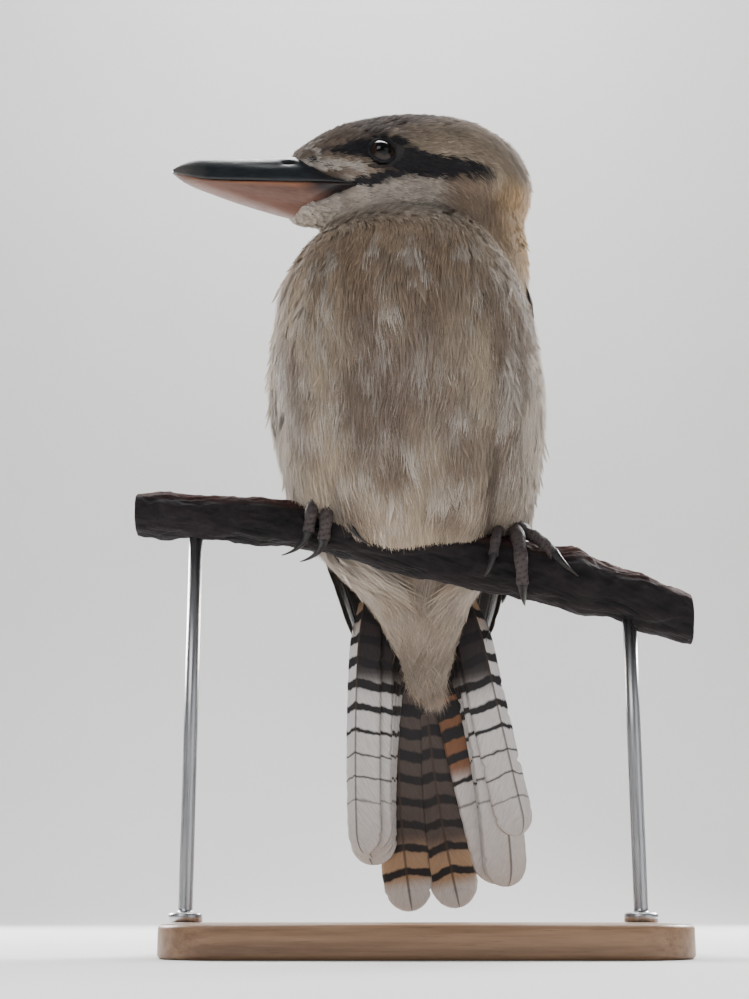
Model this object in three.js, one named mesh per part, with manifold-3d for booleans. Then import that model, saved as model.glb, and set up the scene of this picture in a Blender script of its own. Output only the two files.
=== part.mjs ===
// A life-size laughing kookaburra, perched and facing -Y, with its head turned to its right (-X).
// It sits on a short cut branch, which two rods hold over a flat base, so that the tail hangs clear.
// Millimetres, +Z up. The origin is the centre of the base's underside. The bird's left side is +X.
import * as THREE from 'three';
import { mergeVertices } from 'three/addons/utils/BufferGeometryUtils.js';
import Module from 'manifold-3d';

const wasm = await Module();
wasm.setup();

// Driving dimensions
const GAP = 0.3; // kept between pieces that touch
const BASE = { width: 208, depth: 128, height: 13, corner: 26, bevel: 2 };
const ROD = { radius: 3, xs: [-98, 90], collarRadius: 7, collarHeight: 4 };
const TAIL_ROOT = new THREE.Vector3(0, 53, 166);
const HEAD_TURN = 25; // degrees that the bill points forward of the bird's right
const HEAD_PITCH = 3; // degrees that the bill points down
const EYE_LINE = new THREE.Vector3(-25.8, -10, 345); // midway between the eyes
const EYE = { radius: 6.8, out: 20, lidRadius: 6.4, lidThickness: 1.2 };
const VANE_THICKNESS = 0.7;
const RECTRICES = 6; // pairs of tail feathers
const PRIMARIES = 6;
const SECONDARIES = 6;
const TERTIALS = 2;
const COVERTS = 6;
const SHINGLE = 0.13; // slope of a wing feather across its width
const CLAW_LENGTH = 12;

const radians = THREE.MathUtils.degToRad;
const lerp = THREE.MathUtils.lerp;
const clamp = THREE.MathUtils.clamp;
const smooth = (x) => THREE.MathUtils.smoothstep(x, 0, 1);

// A smooth curve through rows of [key, value, value, ...]: a cubic Hermite with finite-difference slopes.
function profile(rows) {
  const slope = (i, k) => {
    const a = rows[Math.max(i - 1, 0)];
    const b = rows[Math.min(i + 1, rows.length - 1)];
    return (b[k] - a[k]) / (b[0] - a[0]);
  };
  return (key) => {
    const x = clamp(key, rows[0][0], rows[rows.length - 1][0]);
    let i = 0;
    while (i < rows.length - 2 && x > rows[i + 1][0]) i++;
    const step = rows[i + 1][0] - rows[i][0];
    const t = (x - rows[i][0]) / step;
    const t2 = t * t;
    const t3 = t2 * t;
    return rows[i].slice(1).map((value, j) => {
      const k = j + 1;
      return (2 * t3 - 3 * t2 + 1) * value
        + (t3 - 2 * t2 + t) * step * slope(i, k)
        + (3 * t2 - 2 * t3) * rows[i + 1][k]
        + (t3 - t2) * step * slope(i + 1, k);
    });
  };
}

// Evenly spaced keys from first to last, drawn closer to both ends.
function keys(first, last, count) {
  return Array.from({ length: count }, (_, i) => {
    const even = i / (count - 1);
    return lerp(first, last, lerp(even, 0.5 - 0.5 * Math.cos(Math.PI * even), 0.6));
  });
}

// Solids and booleans
function solidOf(geometry) {
  const bare = new THREE.BufferGeometry().setAttribute('position', geometry.getAttribute('position'));
  if (geometry.index) bare.setIndex(geometry.index);
  const merged = mergeVertices(bare, 1e-4);
  const triVerts = new Uint32Array(merged.index.array);
  const vertProperties = new Float32Array(merged.attributes.position.array);
  const make = () => new wasm.Manifold(new wasm.Mesh({ numProp: 3, vertProperties, triVerts }));
  const made = make();
  if (made.volume() > 0) return made;
  for (let i = 0; i < triVerts.length; i += 3) [triVerts[i], triVerts[i + 1]] = [triVerts[i + 1], triVerts[i]];
  return make();
}

// A skin over rings that all have the same number of points, closed by a fan at each end.
function loft(sections) {
  const count = sections[0].length;
  const centre = (ring) => ring.reduce((sum, p) => sum.add(p), new THREE.Vector3()).divideScalar(count);
  const last = sections.length - 1;
  const points = [...sections.flat(), centre(sections[0]), centre(sections[last])];
  const triangles = [];
  for (let j = 0; j < count; j++) {
    const k = (j + 1) % count;
    for (let i = 0; i < last; i++) {
      const [a, b, c, d] = [i * count + j, i * count + k, (i + 1) * count + k, (i + 1) * count + j];
      triangles.push(a, b, c, a, c, d);
    }
    triangles.push(points.length - 2, k, j, points.length - 1, last * count + j, last * count + k);
  }
  return solidOf(new THREE.BufferGeometry().setFromPoints(points).setIndex(triangles));
}

const placed = (geometry, matrix) => solidOf(geometry.applyMatrix4(matrix));
const union = (solids) => solids.reduce((sum, solid) => sum.add(solid));
const cut = (solid, ...cutters) => cutters.reduce((rest, cutter) => rest.subtract(cutter), solid);
const largest = (solid) => solid.decompose().reduce((a, b) => (b.volume() > a.volume() ? b : a));

function meshOf(name, solid, color, roughness, metalness = 0) {
  const made = largest(solid).getMesh();
  const geometry = new THREE.BufferGeometry()
    .setAttribute('position', new THREE.BufferAttribute(new Float32Array(made.vertProperties), 3))
    .setIndex(new THREE.BufferAttribute(made.triVerts, 1));
  geometry.computeVertexNormals();
  const mesh = new THREE.Mesh(geometry, new THREE.MeshStandardMaterial({ color, roughness, metalness }));
  mesh.name = name;
  return mesh;
}

// A closed ring of a rounded box: radii differ to each side, and power 1 is an ellipse, less is squarer.
function ring(count, place, right, left, up, down, power = 0.92) {
  return Array.from({ length: count }, (_, i) => {
    const angle = (i / count) * 2 * Math.PI;
    const c = Math.cos(angle);
    const s = Math.sin(angle);
    const across = Math.sign(c) * Math.abs(c) ** power * (c > 0 ? right : left);
    const along = Math.sign(s) * Math.abs(s) ** power * (s > 0 ? up : down);
    return place(across, along);
  });
}

// A round tube along points, its radius given at each, with flat ends.
function tube(points, radii, sides, flatten = 1) {
  const curve = new THREE.CatmullRomCurve3(points);
  const steps = points.length - 1;
  const frames = curve.computeFrenetFrames(steps, false);
  const sections = points.map((point, i) => {
    const at = curve.getPoint(i / steps);
    return ring(sides, (a, b) => at.clone()
      .addScaledVector(frames.normals[i], a)
      .addScaledVector(frames.binormals[i], b * flatten), radii[i], radii[i], radii[i], radii[i], 1);
  });
  return loft(sections);
}

// A thin plate whose two faces are split alike. point(i, j) and normal(i, j) give its middle surface.
function plate(rows, columns, point, normal, thickness) {
  const vertices = [];
  const triangles = [];
  const index = (side, i, j) => side * rows * columns + i * columns + j;
  for (const side of [0.5, -0.5]) {
    for (let i = 0; i < rows; i++) {
      for (let j = 0; j < columns; j++) {
        const ridge = j > 0 && j < columns - 1 ? 1.3 : 1;
        const at = point(i, j).addScaledVector(normal(i, j), side * thickness * ridge);
        vertices.push(at.x, at.y, at.z);
      }
    }
  }
  const quad = (a, b, c, d) => triangles.push(a, b, c, a, c, d);
  for (let i = 0; i < rows - 1; i++) {
    for (let j = 0; j < columns - 1; j++) {
      quad(index(0, i, j), index(0, i + 1, j), index(0, i + 1, j + 1), index(0, i, j + 1));
      triangles.push(index(1, i, j), index(1, i + 1, j + 1), index(1, i + 1, j));
      triangles.push(index(1, i, j), index(1, i, j + 1), index(1, i + 1, j + 1));
    }
    quad(index(0, i, 0), index(1, i, 0), index(1, i + 1, 0), index(0, i + 1, 0));
    const last = columns - 1;
    quad(index(0, i, last), index(0, i + 1, last), index(1, i + 1, last), index(1, i, last));
  }
  for (let j = 0; j < columns - 1; j++) {
    const end = rows - 1;
    quad(index(0, 0, j), index(0, 0, j + 1), index(1, 0, j + 1), index(1, 0, j));
    quad(index(0, end, j), index(1, end, j), index(1, end, j + 1), index(0, end, j + 1));
  }
  const geometry = new THREE.BufferGeometry()
    .setAttribute('position', new THREE.Float32BufferAttribute(vertices, 3))
    .setIndex(triangles);
  return solidOf(geometry);
}

// The outline of a flight feather: narrow quill, parallel vane and a round tip. t runs from root to tip.
const featherWidth = (t, rootShare = 0.35, tipStart = 0.78) => {
  const base = lerp(rootShare, 1, smooth(clamp(t / 0.3, 0, 1)));
  const tip = t < tipStart ? 1 : Math.sqrt(Math.max(1 - ((t - tipStart) / (1 - tipStart)) ** 2, 0));
  return base * lerp(tip, 1, 0.3);
};

// The branch: its centre line falls and bends to the bird's left, and its radius has a few gnarls.
const PERCH_ENDS = [-124, 116];
const perchLine = profile([[-140, 188, 9], [-96, 185, 9.2], [-53, 181.5, 10], [4, 169.5, 11.8],
  [43, 161.6, 12.2], [78, 153.6, 11.4], [116, 140, 10.8]]);
const GNARLS = [[-112, 1.4, 7], [-72, 0.8, 9], [68, 2.6, 7], [96, 1.2, 6]]; // x, height, width

function perchRadius(x) {
  const knots = GNARLS.reduce((sum, [at, height, width]) => sum + height * Math.exp(-(((x - at) / width) ** 2)), 0);
  return perchLine(x)[1] + knots;
}

function perchSolid(grow = 0) {
  const sections = Array.from({ length: 24 }, (_, i) => {
    const x = lerp(PERCH_ENDS[0], PERCH_ENDS[1], i / 23);
    const [z] = perchLine(x);
    const r = perchRadius(x) + grow;
    return Array.from({ length: 12 }, (_, j) => {
      const angle = (j / 12) * 2 * Math.PI;
      const bark = 1 + 0.035 * Math.sin(3 * angle + x * 0.06) + 0.02 * Math.sin(5 * angle - x * 0.11);
      return new THREE.Vector3(x, r * bark * Math.cos(angle), z + r * bark * Math.sin(angle));
    });
  });
  return loft(sections);
}

// The torso's rings, from the tip of the undertail coverts to the top of the breast:
// height, centre, half-width, front and back.
const torsoRows = profile([
  [110, 4, 5, 38, 43], [126, 4, 13, 31, 46], [144, 2, 25, 22, 51], [160, 0, 36, 10, 59], [175, -2, 46, -14, 61],
  [190, -3, 53, -31, 60], [212, -3, 57, -40, 57], [235, -4, 60, -46, 55], [258, -5, 58.5, -50, 52],
  [280, -5.5, 55, -51, 48], [298, -7, 49, -49, 44], [312, -8, 41.5, -44, 39], [320, -9, 31, -35, 30],
  [325, -10, 12, -18, 14]]);
const TORSO_SPAN = [110, 325];

function torsoRing(z, grow, count = 24) {
  const [x, half, front, back] = torsoRows(z);
  const y = lerp(front, back, 0.5);
  return ring(count, (a, b) => new THREE.Vector3(x + a, y + b, z), half + grow, half + grow, back - y + grow, y - front + grow);
}

function torsoSolid(grow = 0) {
  return loft(keys(TORSO_SPAN[0] - grow, TORSO_SPAN[1] + grow, 17).map((z) => torsoRing(z, grow)));
}

// The neck's rings turn with the head: height, centre x and y, half-length, half-width, degrees of turn.
const neckRows = profile([
  [282, 0, 6, 46, 40, 0], [298, 3, 8, 49.5, 40, 8], [312, 4, 8, 49, 38, 18], [328, 4, 7, 48.5, 36, 25],
  [344, 3, 5, 44, 32, 25], [356, 1, 3, 33, 24, 25]]);

function neckSolid(grow = 0) {
  return loft(keys(282, 356, 9).map((z) => {
    const [x, y, long, wide, turn] = neckRows(z);
    const c = Math.cos(radians(turn));
    const s = Math.sin(radians(turn));
    const place = (a, b) => new THREE.Vector3(x + a * c - b * s, y + a * s + b * c, z);
    return ring(22, place, long + grow, long + grow, wide + grow, wide + grow);
  }));
}

// The head's own frame: forward along the bill, left and up, from the point midway between the eyes.
const turn = radians(HEAD_TURN);
const pitch = radians(HEAD_PITCH);
const forward = new THREE.Vector3(-Math.cos(turn) * Math.cos(pitch), -Math.sin(turn) * Math.cos(pitch), -Math.sin(pitch));
const leftward = new THREE.Vector3(Math.sin(turn), -Math.cos(turn), 0);
const upward = forward.clone().cross(leftward);
const headFrame = new THREE.Matrix4().makeBasis(forward, leftward, upward).setPosition(EYE_LINE);
const inHead = (ahead, left, up) => new THREE.Vector3(ahead, left, up).applyMatrix4(headFrame);

// Rings across the head's axis: distance ahead of the eyes, half-width, top and bottom.
const headRows = profile([
  [-80, 8, 1, -14], [-75, 20, 10.5, -21], [-66, 29, 21.5, -26], [-50, 35, 28, -29], [-32, 35.5, 30.3, -29],
  [-14, 31.5, 29.6, -29], [0, 25.2, 26.8, -29.5], [12, 20.6, 22, -30], [22, 17.2, 14.5, -29.5], [29, 14.8, 8, -28.5],
  [34, 12.8, 3.6, -27], [37.5, 9.5, 0, -23]]);

function headRing(rows, ahead, grow, count, power) {
  const [half, top, bottom] = rows(ahead);
  const middle = (top + bottom) / 2;
  const tall = (top - bottom) / 2 + grow;
  return ring(count, (a, b) => inHead(ahead, a, middle + b), half + grow, half + grow, tall, tall, power);
}

function headSolid(grow = 0) {
  return loft(keys(-80 - grow, 37.5 + grow, 15).map((ahead) => headRing(headRows, ahead, grow, 22, 0.94)));
}

// The bill: distance ahead, half-width, culmen or keel, and the cutting edge.
const BILL_SPAN = [24, 90.5];
const upperBill = profile([
  [24, 12.2, 3.2, -14.2], [34, 11.7, 2, -14.1], [49, 10.3, -0.9, -15.2], [64, 8.4, -3.3, -16.2], [74, 6.5, -4.8, -16.6],
  [80, 4.9, -6.1, -16.2], [86, 2.9, -8.9, -15], [90.5, 0.8, -12, -13.5]]);
const lowerBill = profile([
  [24, 11.8, -26.4, -14.5], [34, 11.2, -26, -14.4], [47, 9.8, -24.6, -15.3], [60, 8, -22.4, -16.3], [72, 5.8, -19.8, -16.9],
  [80, 4, -18, -16.5], [85, 2.7, -16.6, -15.4], [89, 0.8, -14.6, -13.9]]);

function billSolid(rows, last, flatSide, grow = 0) {
  return loft(keys(BILL_SPAN[0] - grow, last + grow, 11).map((ahead) => {
    const [half, far, edge] = rows(ahead);
    const height = Math.abs(far - edge);
    const reach = (b) => (flatSide < 0 ? edge + b : edge - b);
    const side = [height + grow, 0.1 + grow];
    return ring(14, (a, b) => inHead(ahead, a, reach(b)), half + grow, half + grow, side[0], side[1], 0.95);
  }));
}

const nostril = (side) => placed(new THREE.SphereGeometry(1, 8, 6),
  headFrame.clone().multiply(new THREE.Matrix4().makeTranslation(40, side * 9.6, -3.6))
    .multiply(new THREE.Matrix4().makeScale(3.2, 2, 0.9)));

// The line of the mouth runs on from the bill's corner to below the eye.
const gape = (side) => tube([[38, 11.6, -14.2], [28, 15, -14.1], [18, 18.6, -14.3], [10, 21.2, -14.8]]
  .map(([ahead, out, up]) => inHead(ahead, side * out, up)), [0.9, 0.9, 0.8, 0.5], 6);

function eyeMatrix(side) {
  const outward = inHead(0.2, side, 0.1).sub(EYE_LINE).normalize();
  const facing = new THREE.Quaternion().setFromUnitVectors(new THREE.Vector3(0, 0, 1), outward);
  return new THREE.Matrix4().compose(inHead(0, side * EYE.out, 0), facing, new THREE.Vector3(1, 1, 1));
}
const eyeball = (side, grow = 0) => placed(new THREE.SphereGeometry(EYE.radius + grow, 14, 8), eyeMatrix(side));
const lids = (side) => placed(new THREE.TorusGeometry(EYE.lidRadius, EYE.lidThickness, 6, 14),
  eyeMatrix(side).multiply(new THREE.Matrix4().makeTranslation(0, 0, 2.9)));

// The folded wings lie on an envelope of rings: height, centre x, half-width, centre y and reach to the back.
const wingRows = profile([
  [112, 3, 28, 40, 28], [134, 2, 34, 34, 33], [160, 1, 42, 22, 42], [190, -2, 50.5, 10, 49], [220, -3, 56, 6, 51],
  [250, -5, 59.5, 4, 50], [280, -5.5, 56, 2, 47], [300, -6, 48, 2, 42], [314, -6, 40, 2, 35]]);

// A point of a wing, from share 0 at the wrist to 1 at the primaries' tips, and across from -1 at the leading
// edge to 1 by the spine, a lift above the envelope.
function wingPoint(side, share, across, lift) {
  const z = lerp(304, 128, share) - across * 4;
  const lead = lerp(-34, 30, smooth(share * 0.96));
  const spine = lerp(70, 84, share);
  const angle = radians(lerp(lead, spine, (across + 1) / 2));
  const [x, half, y, reach] = wingRows(z);
  const c = Math.cos(angle);
  const s = Math.sin(angle);
  const back = s > 0 ? reach : reach * 0.9;
  return new THREE.Vector3(x + side * (half + lift) * c ** 0.9, y + (back + lift) * Math.sign(s) * Math.abs(s) ** 0.9, z);
}

function wingNormal(side, share, across) {
  const step = 0.02;
  const down = wingPoint(side, share + step, across, 0).sub(wingPoint(side, share - step, across, 0));
  const over = wingPoint(side, share, across + step, 0).sub(wingPoint(side, share, across - step, 0));
  return over.cross(down).multiplyScalar(side).normalize();
}

// The wing's arm under its feathers: a patch that reaches into the body, which then cuts it.
function wingBed(side) {
  return loft(Array.from({ length: 8 }, (_, i) => {
    const share = lerp(0, 0.52, i / 7);
    const edge = Math.sin(Math.PI * lerp(0.1, 0.93, i / 7)) ** 0.45;
    const acrosses = Array.from({ length: 7 }, (_, j) => lerp(-1, 1, j / 6) * lerp(0.8, 0.97, edge));
    const outer = acrosses.map((across) => wingPoint(side, share, across, 3.6 * edge * (1 - across ** 4 * 0.7)));
    const inner = acrosses.reverse().map((across) => wingPoint(side, share, across, -12));
    return outer.concat(inner);
  }));
}

// A wing feather from one [share, across] to another. Its leading edge stands up and its inner edge tucks under
// the next feather, so that a tier of them overlaps like shingles.
function wingVane(side, from, to, width, lift) {
  const at = [0, 0.42, 0.86, 1];
  const spot = (t) => [lerp(from[0], to[0], t), lerp(from[1], to[1], smooth(t))];
  const normal = (i) => wingNormal(side, ...spot(at[i]));
  const point = (i, j) => {
    const t = at[i];
    const here = wingPoint(side, ...spot(t), lift);
    const ahead = wingPoint(side, ...spot(t + 0.02), lift).sub(wingPoint(side, ...spot(t - 0.02), lift)).normalize();
    const across = ahead.cross(normal(i)).normalize().multiplyScalar(-side);
    const half = (j - 1) * width * 0.5 * featherWidth(t);
    return here.addScaledVector(across, half).addScaledVector(normal(i), -SHINGLE * half - (j === 1 ? 0 : 0.3));
  };
  return plate(at.length, 3, point, normal, VANE_THICKNESS);
}

// A tier: feathers from one row of places to another, the first by the wing's leading edge.
function tier(side, count, roots, tips, width, lifts) {
  return Array.from({ length: count }, (_, i) => {
    const t = i / (count - 1);
    const between = ([a, b], [c, d]) => [lerp(a, c, t), lerp(b, d, t)];
    return wingVane(side, between(...roots), between(...tips), width, lerp(lifts[0], lifts[1], t));
  });
}

const wingSolid = (side) => union([
  wingBed(side),
  ...tier(side, PRIMARIES, [[0.4, -0.6], [0.4, -0.1]], [[1, -0.72], [0.84, 0.3]], 12, [1.2, 2.2]),
  ...tier(side, SECONDARIES, [[0.34, -0.6], [0.34, 0.5]], [[0.7, -0.6], [0.82, 0.5]], 15, [3, 3.6]),
  ...tier(side, TERTIALS, [[0.3, 0.55], [0.3, 0.82]], [[0.78, 0.62], [0.64, 0.8]], 17, [5.2, 6.2]),
  ...tier(side, COVERTS, [[0.2, -0.7], [0.2, 0.6]], [[0.44, -0.72], [0.5, 0.5]], 16, [5, 5.6]),
]);

// Tail feathers: the tips' places to the right and left of the middle pair, nearest pair first.
const TAIL_TIPS = {
  '-1': [[-3, 17.8], [-7, 23], [-11, 29], [-14.5, 34], [-18, 39], [-21.5, 43]],
  1: [[17, 19.4], [22, 22], [28, 25], [34, 26.5], [39.5, 28.5], [45, 51]],
};
const TAIL_LEAN = 0.09; // how far the tail goes back for each millimetre down
const TAIL_LAYER = 1.15;

function tailVane(side, pair) {
  const at = [0, 0.26, 0.6, 0.92, 0.98, 1];
  const [tipX, tipZ] = TAIL_TIPS[side][pair];
  const root = TAIL_ROOT.clone().add(new THREE.Vector3(side * (2 + 3.4 * pair), 0, 4));
  const layer = (t) => -TAIL_LAYER * (pair + (side > 0 ? 0.5 : 0)) * lerp(0.5, 1, smooth(clamp(t / 0.3, 0, 1)));
  const width = pair === RECTRICES - 1 ? 19.5 : 22;
  const point = (i, j) => {
    const t = at[i];
    const z = lerp(root.z, tipZ, t);
    const x = lerp(root.x, tipX, t) + (j - 1) * width * 0.5 * featherWidth(t, 0.42, 0.93);
    const spread = (x - lerp(TAIL_ROOT.x, 8, t)) / 40;
    return new THREE.Vector3(x, TAIL_ROOT.y + (root.z - z) * TAIL_LEAN + layer(t) - 2.4 * spread * spread, z);
  };
  const normal = () => new THREE.Vector3(0, 1, TAIL_LEAN).normalize();
  return plate(at.length, 3, point, normal, VANE_THICKNESS);
}

const tailVanes = () => union([-1, 1].flatMap((side) => (
  Array.from({ length: RECTRICES }, (_, pair) => tailVane(side, pair)))));

// The tail's fleshy root, which its feathers start from and the rump has a hollow for.
const tailRoot = (grow = 0) => placed(new THREE.SphereGeometry(1, 18, 10), new THREE.Matrix4()
  .makeTranslation(TAIL_ROOT.x, TAIL_ROOT.y + 1, TAIL_ROOT.z - 9)
  .multiply(new THREE.Matrix4().makeScale(27 + grow, 9 + grow, 21 + grow)));

// Feet: each toe wraps round the branch. Degrees run from the branch's top over its front, and back if negative;
// drift is how far the toe moves along the branch, and sweep how far its claw then curls along it.
const FEET = {
  right: { side: -1, x: -41, toes: {
    outer: { end: 112, start: 4, drift: -4, offset: -3.4, radius: 3.2, sweep: -10 },
    middle: { end: 120, start: 4, drift: -3.4, offset: 2.6, radius: 3.3, sweep: -9 },
    inner: { end: 84, start: 8, drift: 3, offset: 8, radius: 2.5, sweep: 7 },
    hind: { end: -98, start: -2, drift: 3, offset: 0, radius: 3.1, sweep: 1 } } },
  left: { side: 1, x: 41, toes: {
    outer: { end: 66, start: 6, drift: 12, offset: 4, radius: 3.1, sweep: 4 },
    middle: { end: 124, start: 4, drift: 2, offset: 0, radius: 3.3, sweep: 1 },
    inner: { end: 88, start: 8, drift: -4, offset: -6.4, radius: 2.6, sweep: -2 },
    hind: { end: -108, start: -2, drift: -3, offset: 0, radius: 3.1, sweep: -1 } } },
};
const TARSUS = { height: 24, radius: 4, lean: 8 };

function onBranch(x, degrees, lift) {
  const [z] = perchLine(x);
  const r = perchRadius(x) * 1.045 + lift;
  return new THREE.Vector3(x, -r * Math.sin(radians(degrees)), z + r * Math.cos(radians(degrees)));
}

function toePath(foot, toe, share) {
  const degrees = lerp(toe.start, toe.end, share);
  const pad = toe.radius * lerp(1.08, 0.8, share);
  return onBranch(foot.x + toe.offset + toe.drift * share, degrees, GAP + pad);
}

function footSolid(foot, grow = 0) {
  const toes = Object.values(foot.toes).map((toe) => {
    const steps = Array.from({ length: 7 }, (_, i) => i / 6);
    const knuckle = (share) => 1 + 0.07 * Math.cos(share * 6 * Math.PI);
    return tube(steps.map((share) => toePath(foot, toe, share)),
      steps.map((share) => toe.radius * lerp(1, 0.78, share) * knuckle(share) + grow), 7);
  });
  const ankle = onBranch(foot.x, 0, 4.6);
  const knee = ankle.clone().add(new THREE.Vector3(-foot.side * 2, TARSUS.lean, TARSUS.height));
  const tarsus = tube([0, 0.33, 0.66, 1].map((t) => ankle.clone().lerp(knee, t)),
    [4.8, 4, 3.8, 4].map((r) => r + grow), 7);
  const heel = placed(new THREE.SphereGeometry(1, 10, 7), new THREE.Matrix4()
    .makeTranslation(ankle.x, ankle.y, ankle.z).multiply(new THREE.Matrix4().makeScale(7.4 + grow, 6 + grow, 4.6 + grow)));
  return union([heel, tarsus, ...toes]);
}

// A claw starts on its toe's flat end, curls towards the branch and along it, and narrows to a point.
function clawSolid(foot, toe, grow = 0) {
  const tip = toePath(foot, toe, 1);
  const ahead = tip.clone().sub(toePath(foot, toe, 0.94)).normalize();
  const inward = new THREE.Vector3(tip.x, 0, perchLine(tip.x)[0]).sub(tip).normalize();
  const along = new THREE.Vector3(Math.sign(toe.sweep), 0, 0);
  const points = Array.from({ length: 5 }, (_, i) => {
    const t = i / 4;
    const reach = CLAW_LENGTH * (toe.radius / 3.2) * t;
    return tip.clone().addScaledVector(ahead, GAP + 0.2 + reach * (1 - 0.25 * t))
      .addScaledVector(inward, 0.24 * reach * t - 0.6).addScaledVector(along, Math.abs(toe.sweep) * t * t);
  });
  return tube(points, points.map((_, i) => toe.radius * lerp(0.66, 0.1, (i / 4) ** 0.8) + grow), 6);
}

// The stand
function baseSolid() {
  const { width, depth, height, corner, bevel } = BASE;
  const w = width / 2 - bevel;
  const d = depth / 2 - bevel;
  const shape = new THREE.Shape()
    .moveTo(-w + corner, -d).lineTo(w - corner, -d).absarc(w - corner, -d + corner, corner, -Math.PI / 2, 0)
    .lineTo(w, d - corner).absarc(w - corner, d - corner, corner, 0, Math.PI / 2)
    .lineTo(-w + corner, d).absarc(-w + corner, d - corner, corner, Math.PI / 2, Math.PI)
    .lineTo(-w, -d + corner).absarc(-w + corner, -d + corner, corner, Math.PI, 1.5 * Math.PI);
  const geometry = new THREE.ExtrudeGeometry(shape, {
    depth: height - 2 * bevel, bevelThickness: bevel, bevelSize: bevel, bevelSegments: 1, curveSegments: 6 });
  return placed(geometry, new THREE.Matrix4().makeTranslation(0, 0, bevel));
}

function rodSolid(x) {
  const foot = BASE.height + GAP;
  const top = perchLine(x)[0];
  const profilePoints = [[0, foot], [ROD.collarRadius, foot], [ROD.collarRadius, foot + ROD.collarHeight - 1],
    [ROD.collarRadius - 1, foot + ROD.collarHeight], [ROD.radius, foot + ROD.collarHeight], [ROD.radius, top], [0, top]];
  const geometry = new THREE.LatheGeometry(profilePoints.map(([r, z]) => new THREE.Vector2(r, z)), 14);
  return placed(geometry, new THREE.Matrix4().makeTranslation(x, 0, 0).multiply(new THREE.Matrix4().makeRotationX(Math.PI / 2)));
}

// A thin slab that parts the body, tilted back to front.
const slab = (x, y, z, tilt) => placed(new THREE.BoxGeometry(400, 400, GAP), new THREE.Matrix4()
  .makeTranslation(x, y, z).multiply(new THREE.Matrix4().makeRotationX(radians(tilt))));

// Assembly
const COLOURS = { cream: 0xcbb9a3, brown: 0x4b3626, rufous: 0x8a5a35, bill: 0x16181c, horn: 0xb58a6a, eye: 0x120c08,
  foot: 0x5b524c, claw: 0x17140f, bark: 0x2b1d18, base: 0x6b4a30, steel: 0x9a9da0 };
const bird = new THREE.Group();
const add = (...meshes) => bird.add(...meshes);

const perch = perchSolid();
const perchRoom = perchSolid(GAP);
const feet = Object.entries(FEET);
const feetSolids = feet.map(([, foot]) => footSolid(foot));
const feetRoom = feet.map(([, foot]) => footSolid(foot, 2 * GAP));
const clawRoom = feet.flatMap(([, foot]) => Object.values(foot.toes).map((toe) => clawSolid(foot, toe, 1.5 * GAP)));

const bills = [billSolid(upperBill, 90.5, -1), billSolid(lowerBill, 89, 1)];
const billsRoom = [billSolid(upperBill, 90.5, -1, GAP), billSolid(lowerBill, 89, 1, GAP)];
const sides = { left: 1, right: -1 };

const whole = cut(
  union([torsoSolid(), neckSolid(), headSolid(), lids(1), lids(-1)]),
  perchRoom, tailRoot(2 * GAP), ...feetRoom, ...clawRoom, ...billsRoom, ...[1, -1].map((side) => eyeball(side, GAP)),
  gape(1), gape(-1), slab(0, 0, 311, -9), slab(0, 0, 330, -4));
const [torso, neck, head] = whole.decompose().sort((a, b) => b.volume() - a.volume()).slice(0, 3)
  .map((solid) => ({ solid, top: solid.boundingBox().max[2] })).sort((a, b) => a.top - b.top).map(({ solid }) => solid);

add(meshOf('torso', torso, COLOURS.cream, 0.9), meshOf('neck', neck, COLOURS.cream, 0.9),
  meshOf('head', head, COLOURS.cream, 0.9));
add(meshOf('bill_upper', cut(bills[0], nostril(1), nostril(-1)), COLOURS.bill, 0.35),
  meshOf('bill_lower', cut(bills[1], billsRoom[0]), COLOURS.horn, 0.4));

const bodyRoom = union([torsoSolid(GAP), neckSolid(GAP), headSolid(GAP)]);
const tail = cut(union([tailRoot(), tailVanes()]), cut(bodyRoom, tailRoot(GAP)));
add(meshOf('tail', tail, COLOURS.rufous, 0.8));
for (const [name, side] of Object.entries(sides)) {
  add(meshOf(`eye_${name}`, eyeball(side), COLOURS.eye, 0.08));
  add(meshOf(`wing_${name}`, cut(wingSolid(side), bodyRoom, tail), COLOURS.brown, 0.85));
}
feet.forEach(([name, foot], i) => {
  add(meshOf(`foot_${name}`, feetSolids[i], COLOURS.foot, 0.7));
  for (const [toeName, toe] of Object.entries(foot.toes)) {
    add(meshOf(`claw_${name}_${toeName}`, clawSolid(foot, toe), COLOURS.claw, 0.3));
  }
});
add(meshOf('perch', perch, COLOURS.bark, 0.95));
add(meshOf('stand_base', baseSolid(), COLOURS.base, 0.5));
ROD.xs.forEach((x, i) => {
  add(meshOf(`stand_rod_${['right', 'left'][i]}`, cut(rodSolid(x), perchRoom), COLOURS.steel, 0.3, 1));
});

export default bird;
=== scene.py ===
# %% [markdown]
# # A laughing kookaburra on its branch
# A museum model of a kookaburra is a firm body form with a coat of real feathers laid over it.
# This lesson makes it the same way: one smooth skin, thousands of small feathers that follow the lie of the
# plumage, stiff wing and tail feathers one by one, and then the hard parts: bill, eyes, feet, branch and stand.
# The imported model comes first, because every piece takes its place from it. Lengths below are in millimetres,
# and each mesh is turned into metres when it is made.

# %% Load the frame
import bpy
import numpy as np
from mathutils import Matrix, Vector
from mathutils.bvhtree import BVHTree


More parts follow.
